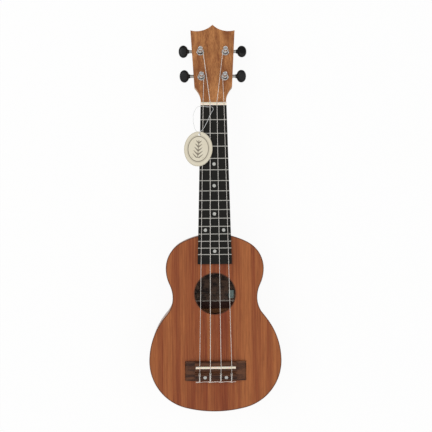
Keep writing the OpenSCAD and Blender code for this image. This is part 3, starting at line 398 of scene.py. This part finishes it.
def round_off(node):
    """Turns a frame piece's flat facets into one smooth moulded surface."""
    smooth = welded(node).modifiers.new("Moulded surface", "SUBSURF")
    smooth.levels = smooth.render_levels = 2


def from_head(x, v, n):
    """A point given across the headstock, along its face from the nut, and above its wood."""
    return Vector((
        x,
        HEAD_Y + v * math.cos(HEAD_PITCH) + n * math.sin(HEAD_PITCH),
        FACE_Z - v * math.sin(HEAD_PITCH) + n * math.cos(HEAD_PITCH),
    ))


def smooth_line(points, steps=8):
    """Points along a Catmull-Rom curve through the given ones."""
    p = [Vector(q) for q in points]
    ends = [2 * p[0] - p[1]] + p + [2 * p[-1] - p[-2]]
    out = []
    for a, b, c, d in zip(ends, ends[1:], ends[2:], ends[3:]):
        for k in range(steps):
            t = k / steps
            out.append(0.5 * (2 * b + (c - a) * t + (2 * a - 5 * b + 4 * c - d) * t * t
                              + (3 * b - a - 3 * c + d) * t ** 3))
    return out + [p[-1]]


def strand(name, points, diameter, finish, body):
    """A round strand along the points, riding on a body."""
    curve = bpy.data.curves.new(name, "CURVE")
    curve.dimensions = "3D"
    curve.bevel_depth = diameter / 2
    curve.bevel_resolution = 3
    curve.use_fill_caps = True
    spline = curve.splines.new("POLY")
    spline.points.add(len(points) - 1)
    for slot, point in zip(spline.points, points):
        slot.co = (*point, 1)
    spline.use_smooth = True
    curve.materials.append(finish)
    piece = bpy.data.objects.new(name, curve)
    bpy.context.scene.collection.objects.link(piece)
    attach(piece, body)
    return piece


def block(name, low, high, finish, body):
    """A box between two corners, riding on a body."""
    mesh = bpy.data.meshes.new(name)
    (x0, y0, z0), (x1, y1, z1) = low, high
    corners = [(x, y, z) for z in (z0, z1) for y in (y0, y1) for x in (x0, x1)]
    faces = [(0, 2, 3, 1), (4, 5, 7, 6), (0, 1, 5, 4), (2, 6, 7, 3), (0, 4, 6, 2), (1, 3, 7, 5)]
    mesh.from_pydata(corners, [], faces)
    mesh.materials.append(finish)
    piece = bpy.data.objects.new(name, mesh)
    bpy.context.scene.collection.objects.link(piece)
    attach(piece, body)
    return piece


# ---- The body ----

# Broad stripes of the two plates, as distance across in metres and tone from dark to light
TOP_STREAKS = (
    (-0.090, 0.8), (-0.076, 0.76), (-0.070, 0.58), (-0.062, 0.85), (-0.056, 0.65), (-0.050, 0.46),
    (-0.042, 0.78), (-0.037, 0.55), (-0.030, 0.12), (-0.024, 0.5), (-0.018, 0.58), (-0.014, 0.28),
    (-0.008, 0.6), (-0.002, 0.45), (0.004, 0.4), (0.010, 0.38), (0.014, 0.15), (0.019, 0.42),
    (0.026, 0.64), (0.034, 0.58), (0.041, 0.92), (0.047, 0.95), (0.053, 0.58), (0.060, 0.58),
    (0.067, 0.92), (0.072, 0.72), (0.079, 0.9), (0.090, 0.85),
)
BACK_STREAKS = (
    (-0.090, 0.9), (-0.073, 0.75), (-0.065, 0.3), (-0.057, 0.0), (-0.047, 0.3), (-0.041, 0.66),
    (-0.035, 0.4), (-0.028, 0.52), (-0.021, 0.34), (-0.009, 0.85), (-0.001, 0.58), (0.004, 0.76),
    (0.009, 0.5), (0.024, 0.76), (0.032, 0.54), (0.040, 0.8), (0.048, 0.58), (0.053, 0.8),
    (0.060, 0.44), (0.068, 0.66), (0.090, 0.5),
)


class UKULELE_OT_finish_body(bpy.types.Operator):
    """Gives the plates, the sides and the wood inside the body their finishes"""

    bl_idname = "ukulele.finish_body"
    bl_label = "Finish the body"

    def execute(self, context):
        woods = context.scene.ukulele_woods
        # Dark colour of the plates' cut sides, and of the painted shade along the rim of their faces
        edge = paint("4a2a1c")
        # The back plate's inner face is painted dark, as the shadow inside the body.
        inner_face_shade = (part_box("back_plate")[1].z, paint("4f2a1b"))
        top = grained_wood("sapele_top", woods.top_light, woods.top_dark, (55, 1.6, 55), 1.3,
                           TOP_STREAKS, edge=edge)
        back = grained_wood("sapele_back", woods.back_light, woods.back_dark, (60, 1.4, 60), 7.1,
                            BACK_STREAKS, edge=edge, inside=inner_face_shade)
        side = grained_wood("sapele_side", woods.side_light, woods.side_dark, (3, 3, 110), 4.2,
                            roughness=0.38, pores=0.35, gloss=0.5)
        raw_wood_and_inner_shade = grained_wood("raw_wood", woods.raw_wood, shaded(woods.raw_wood, 0.7), (90, 3, 90), 2.2,
                           roughness=0.75, pores=0.2)
        brace = grained_wood("brace_wood", paint("a6714a"), paint("7a4c30"), (2, 120, 60), 5.5,
                             roughness=0.7, pores=0.2)
        wear_finish(top, "soundboard")
        wear_finish(back, "back_plate")
        wear_finish(side, "rib_left", "rib_right")
        wear_finish(raw_wood_and_inner_shade, "neck_block", "tail_block", "top_linings", "back_linings", "top_braces",
                    "bridge_patch")
        wear_finish(brace, "back_braces")
        for node in ("soundboard", "back_plate"):
            soften(node, 0.0011, 3)
        return {"FINISHED"}


# Distance between the label's ruled lines, and the seal's corners: across, and up from the label's edge
LABEL_RULE_PITCH = 0.0027
SEAL_BOX = ((0.0205, 0.0045), (0.0275, 0.0155))


class UKULELE_OT_line_inside(bpy.types.Operator):
    """Finishes the label seen through the soundhole, with its pale border and a small seal"""

    bl_idname = "ukulele.line_inside"
    bl_label = "Finish the label"

    def execute(self, context):
        low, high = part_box("soundhole_label")
        f = Finish("label_paper", roughness=0.8)
        y = f.parts(f.place)[1]
        border = f.spread(y, low.y + 0.0016, low.y + 0.002, 1, 0)
        fibre = f.noise(f.stretched(900, 900, 900), detail=4)
        cloud = f.noise(f.stretched(110, 150, 110), detail=4, roughness=0.65)
        across = f.calc("SUBTRACT", f.calc("FRACT", f.calc("DIVIDE", y, LABEL_RULE_PITCH)), 0.5)
        rule = f.spread(f.calc("ABSOLUTE", across), 0.05, 0.14, 1, 0)
        ruled = f.calc("MULTIPLY", rule, f.spread(y, low.y + 0.013, low.y + 0.0135, 1, 0))
        paper = f.mix(f.spread(cloud, 0.36, 0.64), paint("3a2f2b"), paint("7e6352"))
        paper = f.mix(f.calc("MULTIPLY", ruled, 0.45), paper, paint("8d8880"))
        paper = f.mix(border, paper, paint("c4b9ae"))
        wear_finish(f.done(paper, 0.8, f.bump(fibre, 0.00004, 0.4)), "soundhole_label")

        seal = Finish("seal_foil", roughness=0.35, metallic=0.4)
        glint = seal.noise(seal.stretched(700, 700, 700), detail=3)
        tint = seal.mix(seal.spread(glint, 0.35, 0.65), paint("6f918c"), paint("b9c9c4"))
        seal.done(tint, seal.spread(glint, 0.3, 0.7, 0.25, 0.45), seal.bump(glint, 0.00003, 0.3))
        (x0, y0), (x1, y1) = SEAL_BOX
        block("label_seal", (x0, low.y + y0, high.z), (x1, low.y + y1, high.z + 0.0001), seal.material, BODY)
        return {"FINISHED"}


# ---- Neck, headstock and fretboard ----


class UKULELE_OT_finish_neck(bpy.types.Operator):
    """Finishes the neck, the headstock's face, the fretboard with its frets and dots, and the nut"""

    bl_idname = "ukulele.finish_neck"
    bl_label = "Finish the neck"

    def execute(self, context):
        woods = context.scene.ukulele_woods
        neck = grained_wood("neck_wood", woods.neck_light, woods.neck_dark, (90, 3, 70), 3.7,
                            roughness=0.5, pores=0.3, contrast=0.7)
        veneer = grained_wood("headstock_face", woods.veneer_light, woods.veneer_dark, (85, 2.5, 85), 9.4,
                              roughness=0.42, contrast=1.15)
        wear_finish(neck, "neck")
        wear_finish(veneer, "headstock_veneer")

        f = Finish("dyed_board", roughness=0.6, specular_ior_level=0.12)
        grain = f.noise(f.stretched(900, 26, 900), detail=4, roughness=0.65)
        pore = f.noise(f.stretched(2600, 150, 2600))
        cloud = f.noise(f.stretched(40, 12, 40), detail=3)
        board = list(woods.fretboard)
        shade = f.mix(f.spread(grain, 0.3, 0.75), board, shaded(board, 1.5))
        shade = f.mix(f.spread(cloud, 0.4, 0.8, 0, 0.4), shade, shaded(board, 1.5, 1.35, 1.2))
        shade = f.mix(f.spread(pore, 0.6, 0.72, 0, 0.6), shade, shaded(board, 0.4))
        height = f.calc("SUBTRACT", grain, f.spread(pore, 0.6, 0.72))
        rough = f.spread(grain, 0.2, 0.8, 0.52, 0.7)
        wear_finish(f.done(shade, rough, f.bump(height, 0.00008, 0.4)), "fretboard")

        wear_finish(bright_metal("fret_wire", paint("bcbab3"), 0.3, (30, 2400, 2400)), "frets")
        wear_finish(pearl("pearl_dots"), "position_dots")
        wear_finish(bone_like("nut_bone", paint("f6ead6")), "nut")
        soften("fretboard", 0.0003)
        soften("nut", 0.0003)
        soften("headstock_veneer", 0.0002)
        return {"FINISHED"}


class UKULELE_OT_finish_bridge(bpy.types.Operator):
    """Finishes the bridge, its saddle and its two dots"""

    bl_idname = "ukulele.finish_bridge"
    bl_label = "Finish the bridge"

    def execute(self, context):
        woods = context.scene.ukulele_woods
        wood = grained_wood("bridge_wood", woods.bridge_light, woods.bridge_dark, (8, 160, 160), 6.1,
                            roughness=0.55, pores=0.6)
        wear_finish(wood, "bridge")
        wear_finish(bone_like("saddle_bone", paint("f6ead6"), 0.3), "saddle")
        wear_finish(pearl("bridge_pearl"), "bridge_dots")
        soften("bridge", 0.0004)
        soften("saddle", 0.0003)
        return {"FINISHED"}


# ---- Tuning machines ----


class UKULELE_OT_finish_tuners(bpy.types.Operator):
    """Finishes the plates, posts, gears, worms, knobs, bushings and screws of the tuning machines"""

    bl_idname = "ukulele.finish_tuners"
    bl_label = "Finish the tuning machines"

    def execute(self, context):
        nickel = bright_metal("nickel_plate", paint("a9a8a4"), 0.24, tarnish=paint("5f5b55"))
        finishes = {
            "tuner_plate_": nickel,
            "worm_shaft_": nickel,
            # The posts and bushings take painted shade in their corners, where they meet each other and the
            # headstock.
            "tuner_post_": bright_metal("polished_post", paint("dcdddd"), 0.1, tarnish=paint("8b8a88"),
                                        painted_corner_shade=paint("2b2a29")),
            "post_bushing_": bright_metal("chrome_bushing", paint("e6e7e7"), 0.1, painted_corner_shade=paint("3b3a39")),
            "tuner_gear_": bright_metal("gear_brass", paint("c3a764"), 0.28, tarnish=paint("7d6433")),
            "gear_screw_": bright_metal("dark_screw", paint("4a4743"), 0.35),
            "tuner_knob_": black_plastic("knob_black", paint("0d0d0e")),
        }
        for course in COURSES:
            for stem, finish in finishes.items():
                wear_finish(finish, stem + course)
            soften("tuner_plate_" + course, 0.00015)
            round_off("tuner_knob_" + course)
        wear_finish(nickel, "tuner_screws")
        return {"FINISHED"}


# ---- Strings ----


# Where the strings leave the nut, along the headstock from its root
NUT_EXIT_V = -0.0014
COIL_STEPS = 28


def course_x(i, spread):
    """Place of a course across the neck, when the outer two lie a spread apart."""
    return spread * (i / 3 - 0.5)


def winding_touch(course, i, radius):
    """Where the string touches its winding, and the angle of that point about the post, in the
    headstock's frame with the centre line at x = 0 and the post on the positive side."""
    post = JOINT_AT["post_%s_turn" % course]
    centre = Vector((abs(post.x), (post.y - HEAD_Y) / math.cos(HEAD_PITCH)))
    start = Vector((abs(course_x(i, NUT_SPREAD)), NUT_EXIT_V))
    to_centre = centre - start
    reach = to_centre.length
    heading = math.atan2(to_centre.y, to_centre.x) + math.asin(radius / reach)
    touch = start + math.sqrt(reach ** 2 - radius ** 2) * Vector((math.cos(heading), math.sin(heading)))
    arm = touch - centre
    return centre, touch, math.atan2(arm.y, arm.x)


def run_route(i, d, from_post):
    """Corners of a string's straight runs, from its winding over the nut to the saddle."""
    over_nut = course_x(i, NUT_SPREAD)
    over_saddle = course_x(i, SADDLE_SPREAD)
    nut_z = BOARD_Z + NUT_ACTION
    return [
        from_post,
        Vector((over_nut, HEAD_Y + 0.0002, nut_z - 0.00025)),
        Vector((over_nut, HEAD_Y - 0.0029, nut_z)),
        Vector((over_nut, NUT_Y, nut_z)),
        Vector((over_saddle, SADDLE_Y + 0.0008, SADDLE_Z + d / 2)),
        Vector((over_saddle, SADDLE_Y - 0.0008, SADDLE_Z + d / 2 - 0.0001)),
    ]


def tie_route(sx, d, slack, tail):
    """Route of a tie after the saddle: through the tie block's hole, back over its top, round the
    string, over the top again to a slack loop behind the bridge, and along to the tail's end."""
    rear = BRIDGE_REAR_Y
    front = rear + TIE_BLOCK_L
    hole = TIE_HOLE_Z
    top = TIE_TOP_Z + d / 2
    return [Vector((sx + x, y, z)) for x, y, z in (
        (0, front + 0.0030, hole + 0.0018),
        (0, front + 0.0004, hole),
        (0, front - 0.0045, hole),
        (0, rear - 0.0002, hole),
        (0, rear - 0.0009, hole + 0.0011),
        (0, rear - 0.0006, top - 0.0006),
        (0.0001, rear + 0.0008, top),
        (0.0003, front - 0.0010, top + 0.0001),
        (0.0009, front + 0.0006, top - 0.0008),
        (0.0006, front + 0.0014, hole + 0.0003),
        (-0.0005, front + 0.0013, hole + 0.0002),
        (-0.0010, front + 0.0006, top - 0.0009),
        (-0.0008, front - 0.0012, top + 0.0002),
        (-0.0007, rear + 0.0010, top + 0.0001),
        (-0.0009, rear - 0.0006, top - 0.0004),
        (-slack, rear - 0.0010, top - 0.0012),
        (-slack - 0.0006, rear - 0.0015, top - 0.0017),
        (-slack + 0.0008, rear - 0.0020, top - 0.0016),
        (0.0022, rear - 0.0013, top - 0.0010),
        (tail * 0.6, rear - 0.0010, top - 0.0015),
        (tail, rear - 0.0012, top - 0.0010),
    )]


def coil_route(side, centre, radius, angle, turns, pitch):
    """Route of a winding: its turns up the post from where the string touches it, then its end
    through the post's hole."""

    def on_post(turned, z):
        return side * (centre.x + radius * math.cos(turned)), centre.y + radius * math.sin(turned), z

    count = int(COIL_STEPS * turns)
    coil = [
        on_post(angle - 2 * math.pi * k / COIL_STEPS, WINDING_Z + pitch * max(k, 0) / COIL_STEPS)
        for k in range(-1, count + 1)
    ]
    last = angle - 2 * math.pi * count / COIL_STEPS
    top = coil[-1][2]
    x, v = side * centre.x, centre.y
    end = [
        coil[-1],
        on_post(last - 0.5, top + 0.0006),
        (x, v - 0.0042, (top + STRING_HOLE_Z) / 2 + 0.0006),
        (x, v - 0.0026, STRING_HOLE_Z),
        (x, v + 0.0026, STRING_HOLE_Z),
        (x, v + 0.0034, STRING_HOLE_Z + 0.0001),
    ]
    return [from_head(*p) for p in coil] + smooth_line([from_head(*p) for p in end], 6)[1:]


class UKULELE_OT_string_up(bpy.types.Operator):
    """Runs each string from its post over the nut and saddle, and ties it at the bridge"""

    bl_idname = "ukulele.string_up"
    bl_label = "String it up"

    def execute(self, context):
        stringing = context.scene.ukulele_stringing
        finish = nylon("nylon_string", list(stringing.nylon))
        for i, course in enumerate(COURSES):
            d = {"c": stringing.thick, "e": stringing.middle}.get(course, stringing.thin)
            side = SIDE[course]
            radius = POST_R + d / 2
            centre, touch, angle = winding_touch(course, i, radius)
            run = run_route(i, d, from_head(side * touch.x, touch.y, WINDING_Z))
            slack = 0.0045 if course == "g" else 0.0016
            tail = stringing.tail * (0.42 if course == "a" else 1)
            tie = smooth_line([run[-1]] + tie_route(course_x(i, SADDLE_SPREAD), d, slack, tail), 5)
            string = strand("string_run_" + course, run[:-1] + tie, d, finish, BODY)
            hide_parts("string_" + course)

            coil = coil_route(side, centre, radius, angle, stringing.turns, stringing.coil_pitch)
            winding = strand("winding_" + course, coil, d, finish, "post_" + course)
            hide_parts("string_winding_" + course)
        return {"FINISHED"}


# ---- Hang tag ----

TAG_MIDDLE = Vector((-0.0210, NUT_Y - 0.0589))
TAG_HALF_W = 0.019
TAG_HALF_L = 0.0234
TAG_TURN = math.radians(-5)
# Route of the thread in millimetres, from the middle of the nut's front edge and the board's face
THREAD_ROUTE = (
    (-19.2, -39.7, 3), (-18.3, -36, 4.6), (-14, -32, 4.4), (-9, -23, 3.6), (-5, -14, 3), (-1.5, -8, 2.2),
    (-0.4, -5, 1.2), (-1.6, -2.8, 0.5), (-5, -2.2, 0.4), (-11, -2, 0.4), (-16, -1.4, 0.4),
    (-20, -1.8, 0.3), (-24, -5, -0.2), (-27, -12, -0.8), (-27.4, -22, -0.6), (-25, -32, 0.2),
    (-21, -37, 1.2), (-19.4, -39.6, 2.4),
)


def printed_card(card, ink):
    """Card with a beaded rim, two rings and a sprig on its face, and a blank back."""
    f = Finish("tag_card", roughness=0.7)
    fibre = f.noise(f.stretched(1200, 1200, 1200), detail=4)
    cloud = f.noise(f.stretched(70, 70, 70), detail=3)
    level = f.add("Mapping", {"Vector": f.place, "Location": (-TAG_MIDDLE.x, -TAG_MIDDLE.y, 0)}).outputs[0]
    turned = f.add("VectorRotate", {"Vector": level, "Angle": -TAG_TURN}, rotation_type="Z_AXIS").outputs[0]
    x, y = f.parts(turned)[:2]
    across = f.calc("POWER", f.calc("DIVIDE", x, TAG_HALF_W), 2.0)
    along = f.calc("POWER", f.calc("DIVIDE", y, TAG_HALF_L), 2.0)
    reach = f.calc("SQRT", f.calc("ADD", across, along))

    def ring(radius, half, strength):
        away = f.calc("ABSOLUTE", f.calc("SUBTRACT", reach, radius))
        return f.spread(away, half * 0.5, half, strength, 0)

    blank = f.mix(f.spread(cloud, 0.3, 0.75, 0, 0.5), card, shaded(card, 0.94, 0.92, 0.87))
    face = f.mix(ring(0.72, 0.035, 0.8), blank, ink)
    face = f.mix(ring(0.79, 0.02, 0.3), face, ink)
    around = f.calc("ARCTAN2", y, x)
    beads = f.spread(f.calc("SINE", f.calc("MULTIPLY", around, 64.0)), -0.4, 0.6, 0, 0.4)
    face = f.mix(f.calc("MULTIPLY", beads, f.spread(reach, 0.93, 0.96)), face, ink)

    # The sprig is a stem with pairs of slanting leaves that shorten towards its tip
    out = f.calc("ABSOLUTE", x)
    climb = f.calc("DIVIDE", f.calc("SUBTRACT", y, f.calc("MULTIPLY", out, 0.9)), 0.0052)
    leaf = f.calc("ABSOLUTE", f.calc("SUBTRACT", f.calc("FRACT", climb), 0.5))
    span = f.spread(y, -0.0125, 0.0125, 0.0088, 0.0038, smooth=False)
    taper = f.calc("SUBTRACT", 1.0, f.calc("DIVIDE", out, span), clamp=True)
    blade = f.calc("SUBTRACT", f.calc("MULTIPLY", f.calc("POWER", taper, 0.6), 0.3), leaf)
    stem = f.spread(out, 0.0003, 0.0006, 1, 0)
    drawn = f.calc("MAXIMUM", f.spread(blade, 0.0, 0.06), stem)
    within = f.spread(f.calc("ABSOLUTE", y), 0.0118, 0.0122, 0.8, 0)
    face = f.mix(f.calc("MULTIPLY", drawn, within), face, ink)

    front = f.spread(f.parts(f.add("NewGeometry").outputs["True Normal"])[2], 0.0, 0.3)
    return f.done(f.mix(front, blank, face), 0.7, f.bump(fibre, 0.00004, 0.4))


class UKULELE_OT_hang_tag(bpy.types.Operator):
    """Prints the hang tag with plain rings and a sprig, and ties it on with its thread"""

    bl_idname = "ukulele.hang_tag"
    bl_label = "Hang the tag"

    def execute(self, context):
        tag = context.scene.ukulele_tag
        wear_finish(printed_card(list(tag.card), list(tag.print_ink)), "hang_tag")

        clear = Finish("clear_thread", roughness=0.15, transmission_weight=0.25, ior=1.4)
        tint = list(tag.thread)
        streak = clear.noise(clear.stretched(900, 900, 900))
        shade = clear.mix(clear.spread(streak, 0.3, 0.7), tint, shaded(tint, 0.9))
        clear.done(shade, clear.spread(streak, 0.3, 0.7, 0.1, 0.25), clear.bump(streak, 0.00001, 0.2))
        route = [Vector((x, y, z)) / 1000 + Vector((0, NUT_Y, BOARD_Z)) for x, y, z in THREAD_ROUTE]
        line = smooth_line(route, 6)
        thread = strand("tag_thread_line", line, tag.thread_d, clear.material, BODY)
        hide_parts("tag_thread")
        return {"FINISHED"}


# ---- Studio ----


LAMP_TARGET = Vector((0, 0, 0.03))
FLOOR_HALF = 6.0
FLOOR_Z = -0.0002
# Where the camera stands over the face, where it looks, and its roll
CAMERA_XY = (-0.0293, -0.0073)
AIM_XY = (0.0021, 0.0001)
CAMERA_ROLL = math.radians(-0.47)
SENSOR_MM = 36


def lay_floor(tint):
    """A pale floor that takes shadows, and looks evenly lit where the camera or a mirror sees it."""
    f = Finish("studio_floor", roughness=0.9)
    speck = f.noise(f.stretched(40, 40, 40), detail=3)
    f.done(f.mix(f.spread(speck, 0.3, 0.7), tint, shaded(tint, 0.985)), 0.9)
    glow = f.add("Emission", {"Color": WHITE, "Strength": 1.0}).outputs[0]
    rays = f.add("LightPath").outputs
    mirrored = f.calc("MAXIMUM", rays["Is Glossy Ray"], rays["Is Transmission Ray"])
    seen = f.calc("MULTIPLY", f.calc("MAXIMUM", rays["Is Camera Ray"], mirrored), 0.93)
    f.feed(f.tree.nodes["Material Output"].inputs["Surface"], f.blend(seen, f.shader.outputs[0], glow))
    mesh = bpy.data.meshes.new("floor")
    corners = [(FLOOR_HALF * x, FLOOR_HALF * y, FLOOR_Z) for x, y in ((-1, -1), (1, -1), (1, 1), (-1, 1))]
    mesh.from_pydata(corners, [], [(0, 1, 2, 3)])
    mesh.materials.append(f.material)
    floor = bpy.data.objects.new("studio_floor", mesh)
    bpy.context.scene.collection.objects.link(floor)


def light_sky(strength):
    """Even light from above that fades towards the horizon and beyond the head, behind plain white."""
    world = bpy.data.worlds.new("studio_light")
    bpy.context.scene.world = world
    world.use_nodes = True
    sky = Wiring(world.node_tree)
    even = world.node_tree.nodes["Background"]
    even.inputs["Color"].default_value = WHITE
    toward = sky.parts(sky.add("TexCoord").outputs["Generated"])
    rise = sky.spread(toward["Z"], -0.05, 0.75, 0.1 * strength, strength, smooth=False)
    fall = sky.spread(toward["Y"], 0.0, 0.6, 1.0, 0.35, smooth=False)
    sky.feed(even.inputs["Strength"], sky.calc("MULTIPLY", rise, fall))
    white = sky.add("Background", {"Color": WHITE, "Strength": 1.0}).outputs[0]
    rays = sky.add("LightPath").outputs
    seen = sky.calc("MAXIMUM", rays["Is Camera Ray"], rays["Is Transmission Ray"])
    shown = sky.blend(seen, even.outputs[0], white)
    sky.feed(world.node_tree.nodes["World Output"].inputs["Surface"], shown)


def hang_lamp(name, place, size, power):
    """A round soft lamp turned to the ukulele."""
    light = bpy.data.lights.new(name, "AREA")
    light.shape = "DISK"
    light.size = size
    light.energy = power
    lamp = bpy.data.objects.new(name, light)
    lamp.location = place
    lamp.rotation_euler = (LAMP_TARGET - Vector(place)).to_track_quat("-Z", "Y").to_euler()
    bpy.context.scene.collection.objects.link(lamp)


def place_camera(distance, view_width):
    """A camera over the face, with the view's width measured at the fretboard."""
    camera = bpy.data.cameras.new("camera")
    camera.sensor_width = SENSOR_MM
    camera.lens = SENSOR_MM * distance / view_width
    camera.clip_start, camera.clip_end = 0.05, 20
    rig = bpy.data.objects.new("camera", camera)
    rig.location = (*CAMERA_XY, BOARD_Z + distance)
    back = (rig.location - Vector((*AIM_XY, BOARD_Z))).normalized()
    across = Vector((0, 1, 0)).cross(back).normalized()
    turn = Matrix((across, back.cross(across), back)).transposed()
    rig.rotation_euler = (turn @ Matrix.Rotation(CAMERA_ROLL, 3, "Z")).to_euler()
    bpy.context.scene.collection.objects.link(rig)
    bpy.context.scene.camera = rig


class UKULELE_OT_set_studio(bpy.types.Operator):
    """Lays the floor, hangs the lamps and places the camera straight over the face"""

    bl_idname = "ukulele.set_studio"
    bl_label = "Set the studio"

    def execute(self, context):
        studio = context.scene.ukulele_studio
        context.scene.view_settings.view_transform = "Standard"
        lay_floor(list(studio.floor))
        light_sky(studio.sky)
        hang_lamp("key_lamp", (-0.9, 0.55, 1.5), 1.1, studio.key_power)
        hang_lamp("fill_lamp", (1.2, -0.3, 1.3), 1.4, studio.fill_power)
        place_camera(studio.distance, studio.view_width)
        return {"FINISHED"}


STEPS = (
    UKULELE_OT_finish_body,
    UKULELE_OT_line_inside,
    UKULELE_OT_finish_neck,
    UKULELE_OT_finish_bridge,
    UKULELE_OT_finish_tuners,
    UKULELE_OT_string_up,
    UKULELE_OT_hang_tag,
    UKULELE_OT_set_studio,
)
GROUPS = (
    ("ukulele_woods", UkuleleWoods),
    ("ukulele_stringing", UkuleleStringing),
    ("ukulele_tag", UkuleleTag),
    ("ukulele_studio", UkuleleStudio),
)


class UKULELE_PT_workbench(bpy.types.Panel):
    """Lists the ukulele's settings and the steps that build it"""

    bl_idname = "UKULELE_PT_workbench"
    bl_label = "Soprano ukulele"
    bl_space_type = "VIEW_3D"
    bl_region_type = "UI"
    bl_category = "Ukulele"

    def draw(self, context):
        for name, group in GROUPS:
            box = self.layout.box()
            settings = getattr(context.scene, name)
            for prop in group.__annotations__:
                box.prop(settings, prop)
        for step in STEPS:
            self.layout.operator(step.bl_idname)


def register():
    for name, group in GROUPS:
        bpy.utils.register_class(group)
        setattr(bpy.types.Scene, name, bpy.props.PointerProperty(type=group))
    for step in STEPS:
        bpy.utils.register_class(step)
    bpy.utils.register_class(UKULELE_PT_workbench)


def unregister():
    bpy.utils.unregister_class(UKULELE_PT_workbench)
    for step in reversed(STEPS):
        bpy.utils.unregister_class(step)
    for name, group in reversed(GROUPS):
        delattr(bpy.types.Scene, name)
        bpy.utils.unregister_class(group)


def main():
    bpy.context.view_layer.update()
    register()
    for step in STEPS:
        area, name = step.bl_idname.split(".")
        getattr(getattr(bpy.ops, area), name)()
    bpy.context.view_layer.update()


if __name__ == "__main__":
    main()
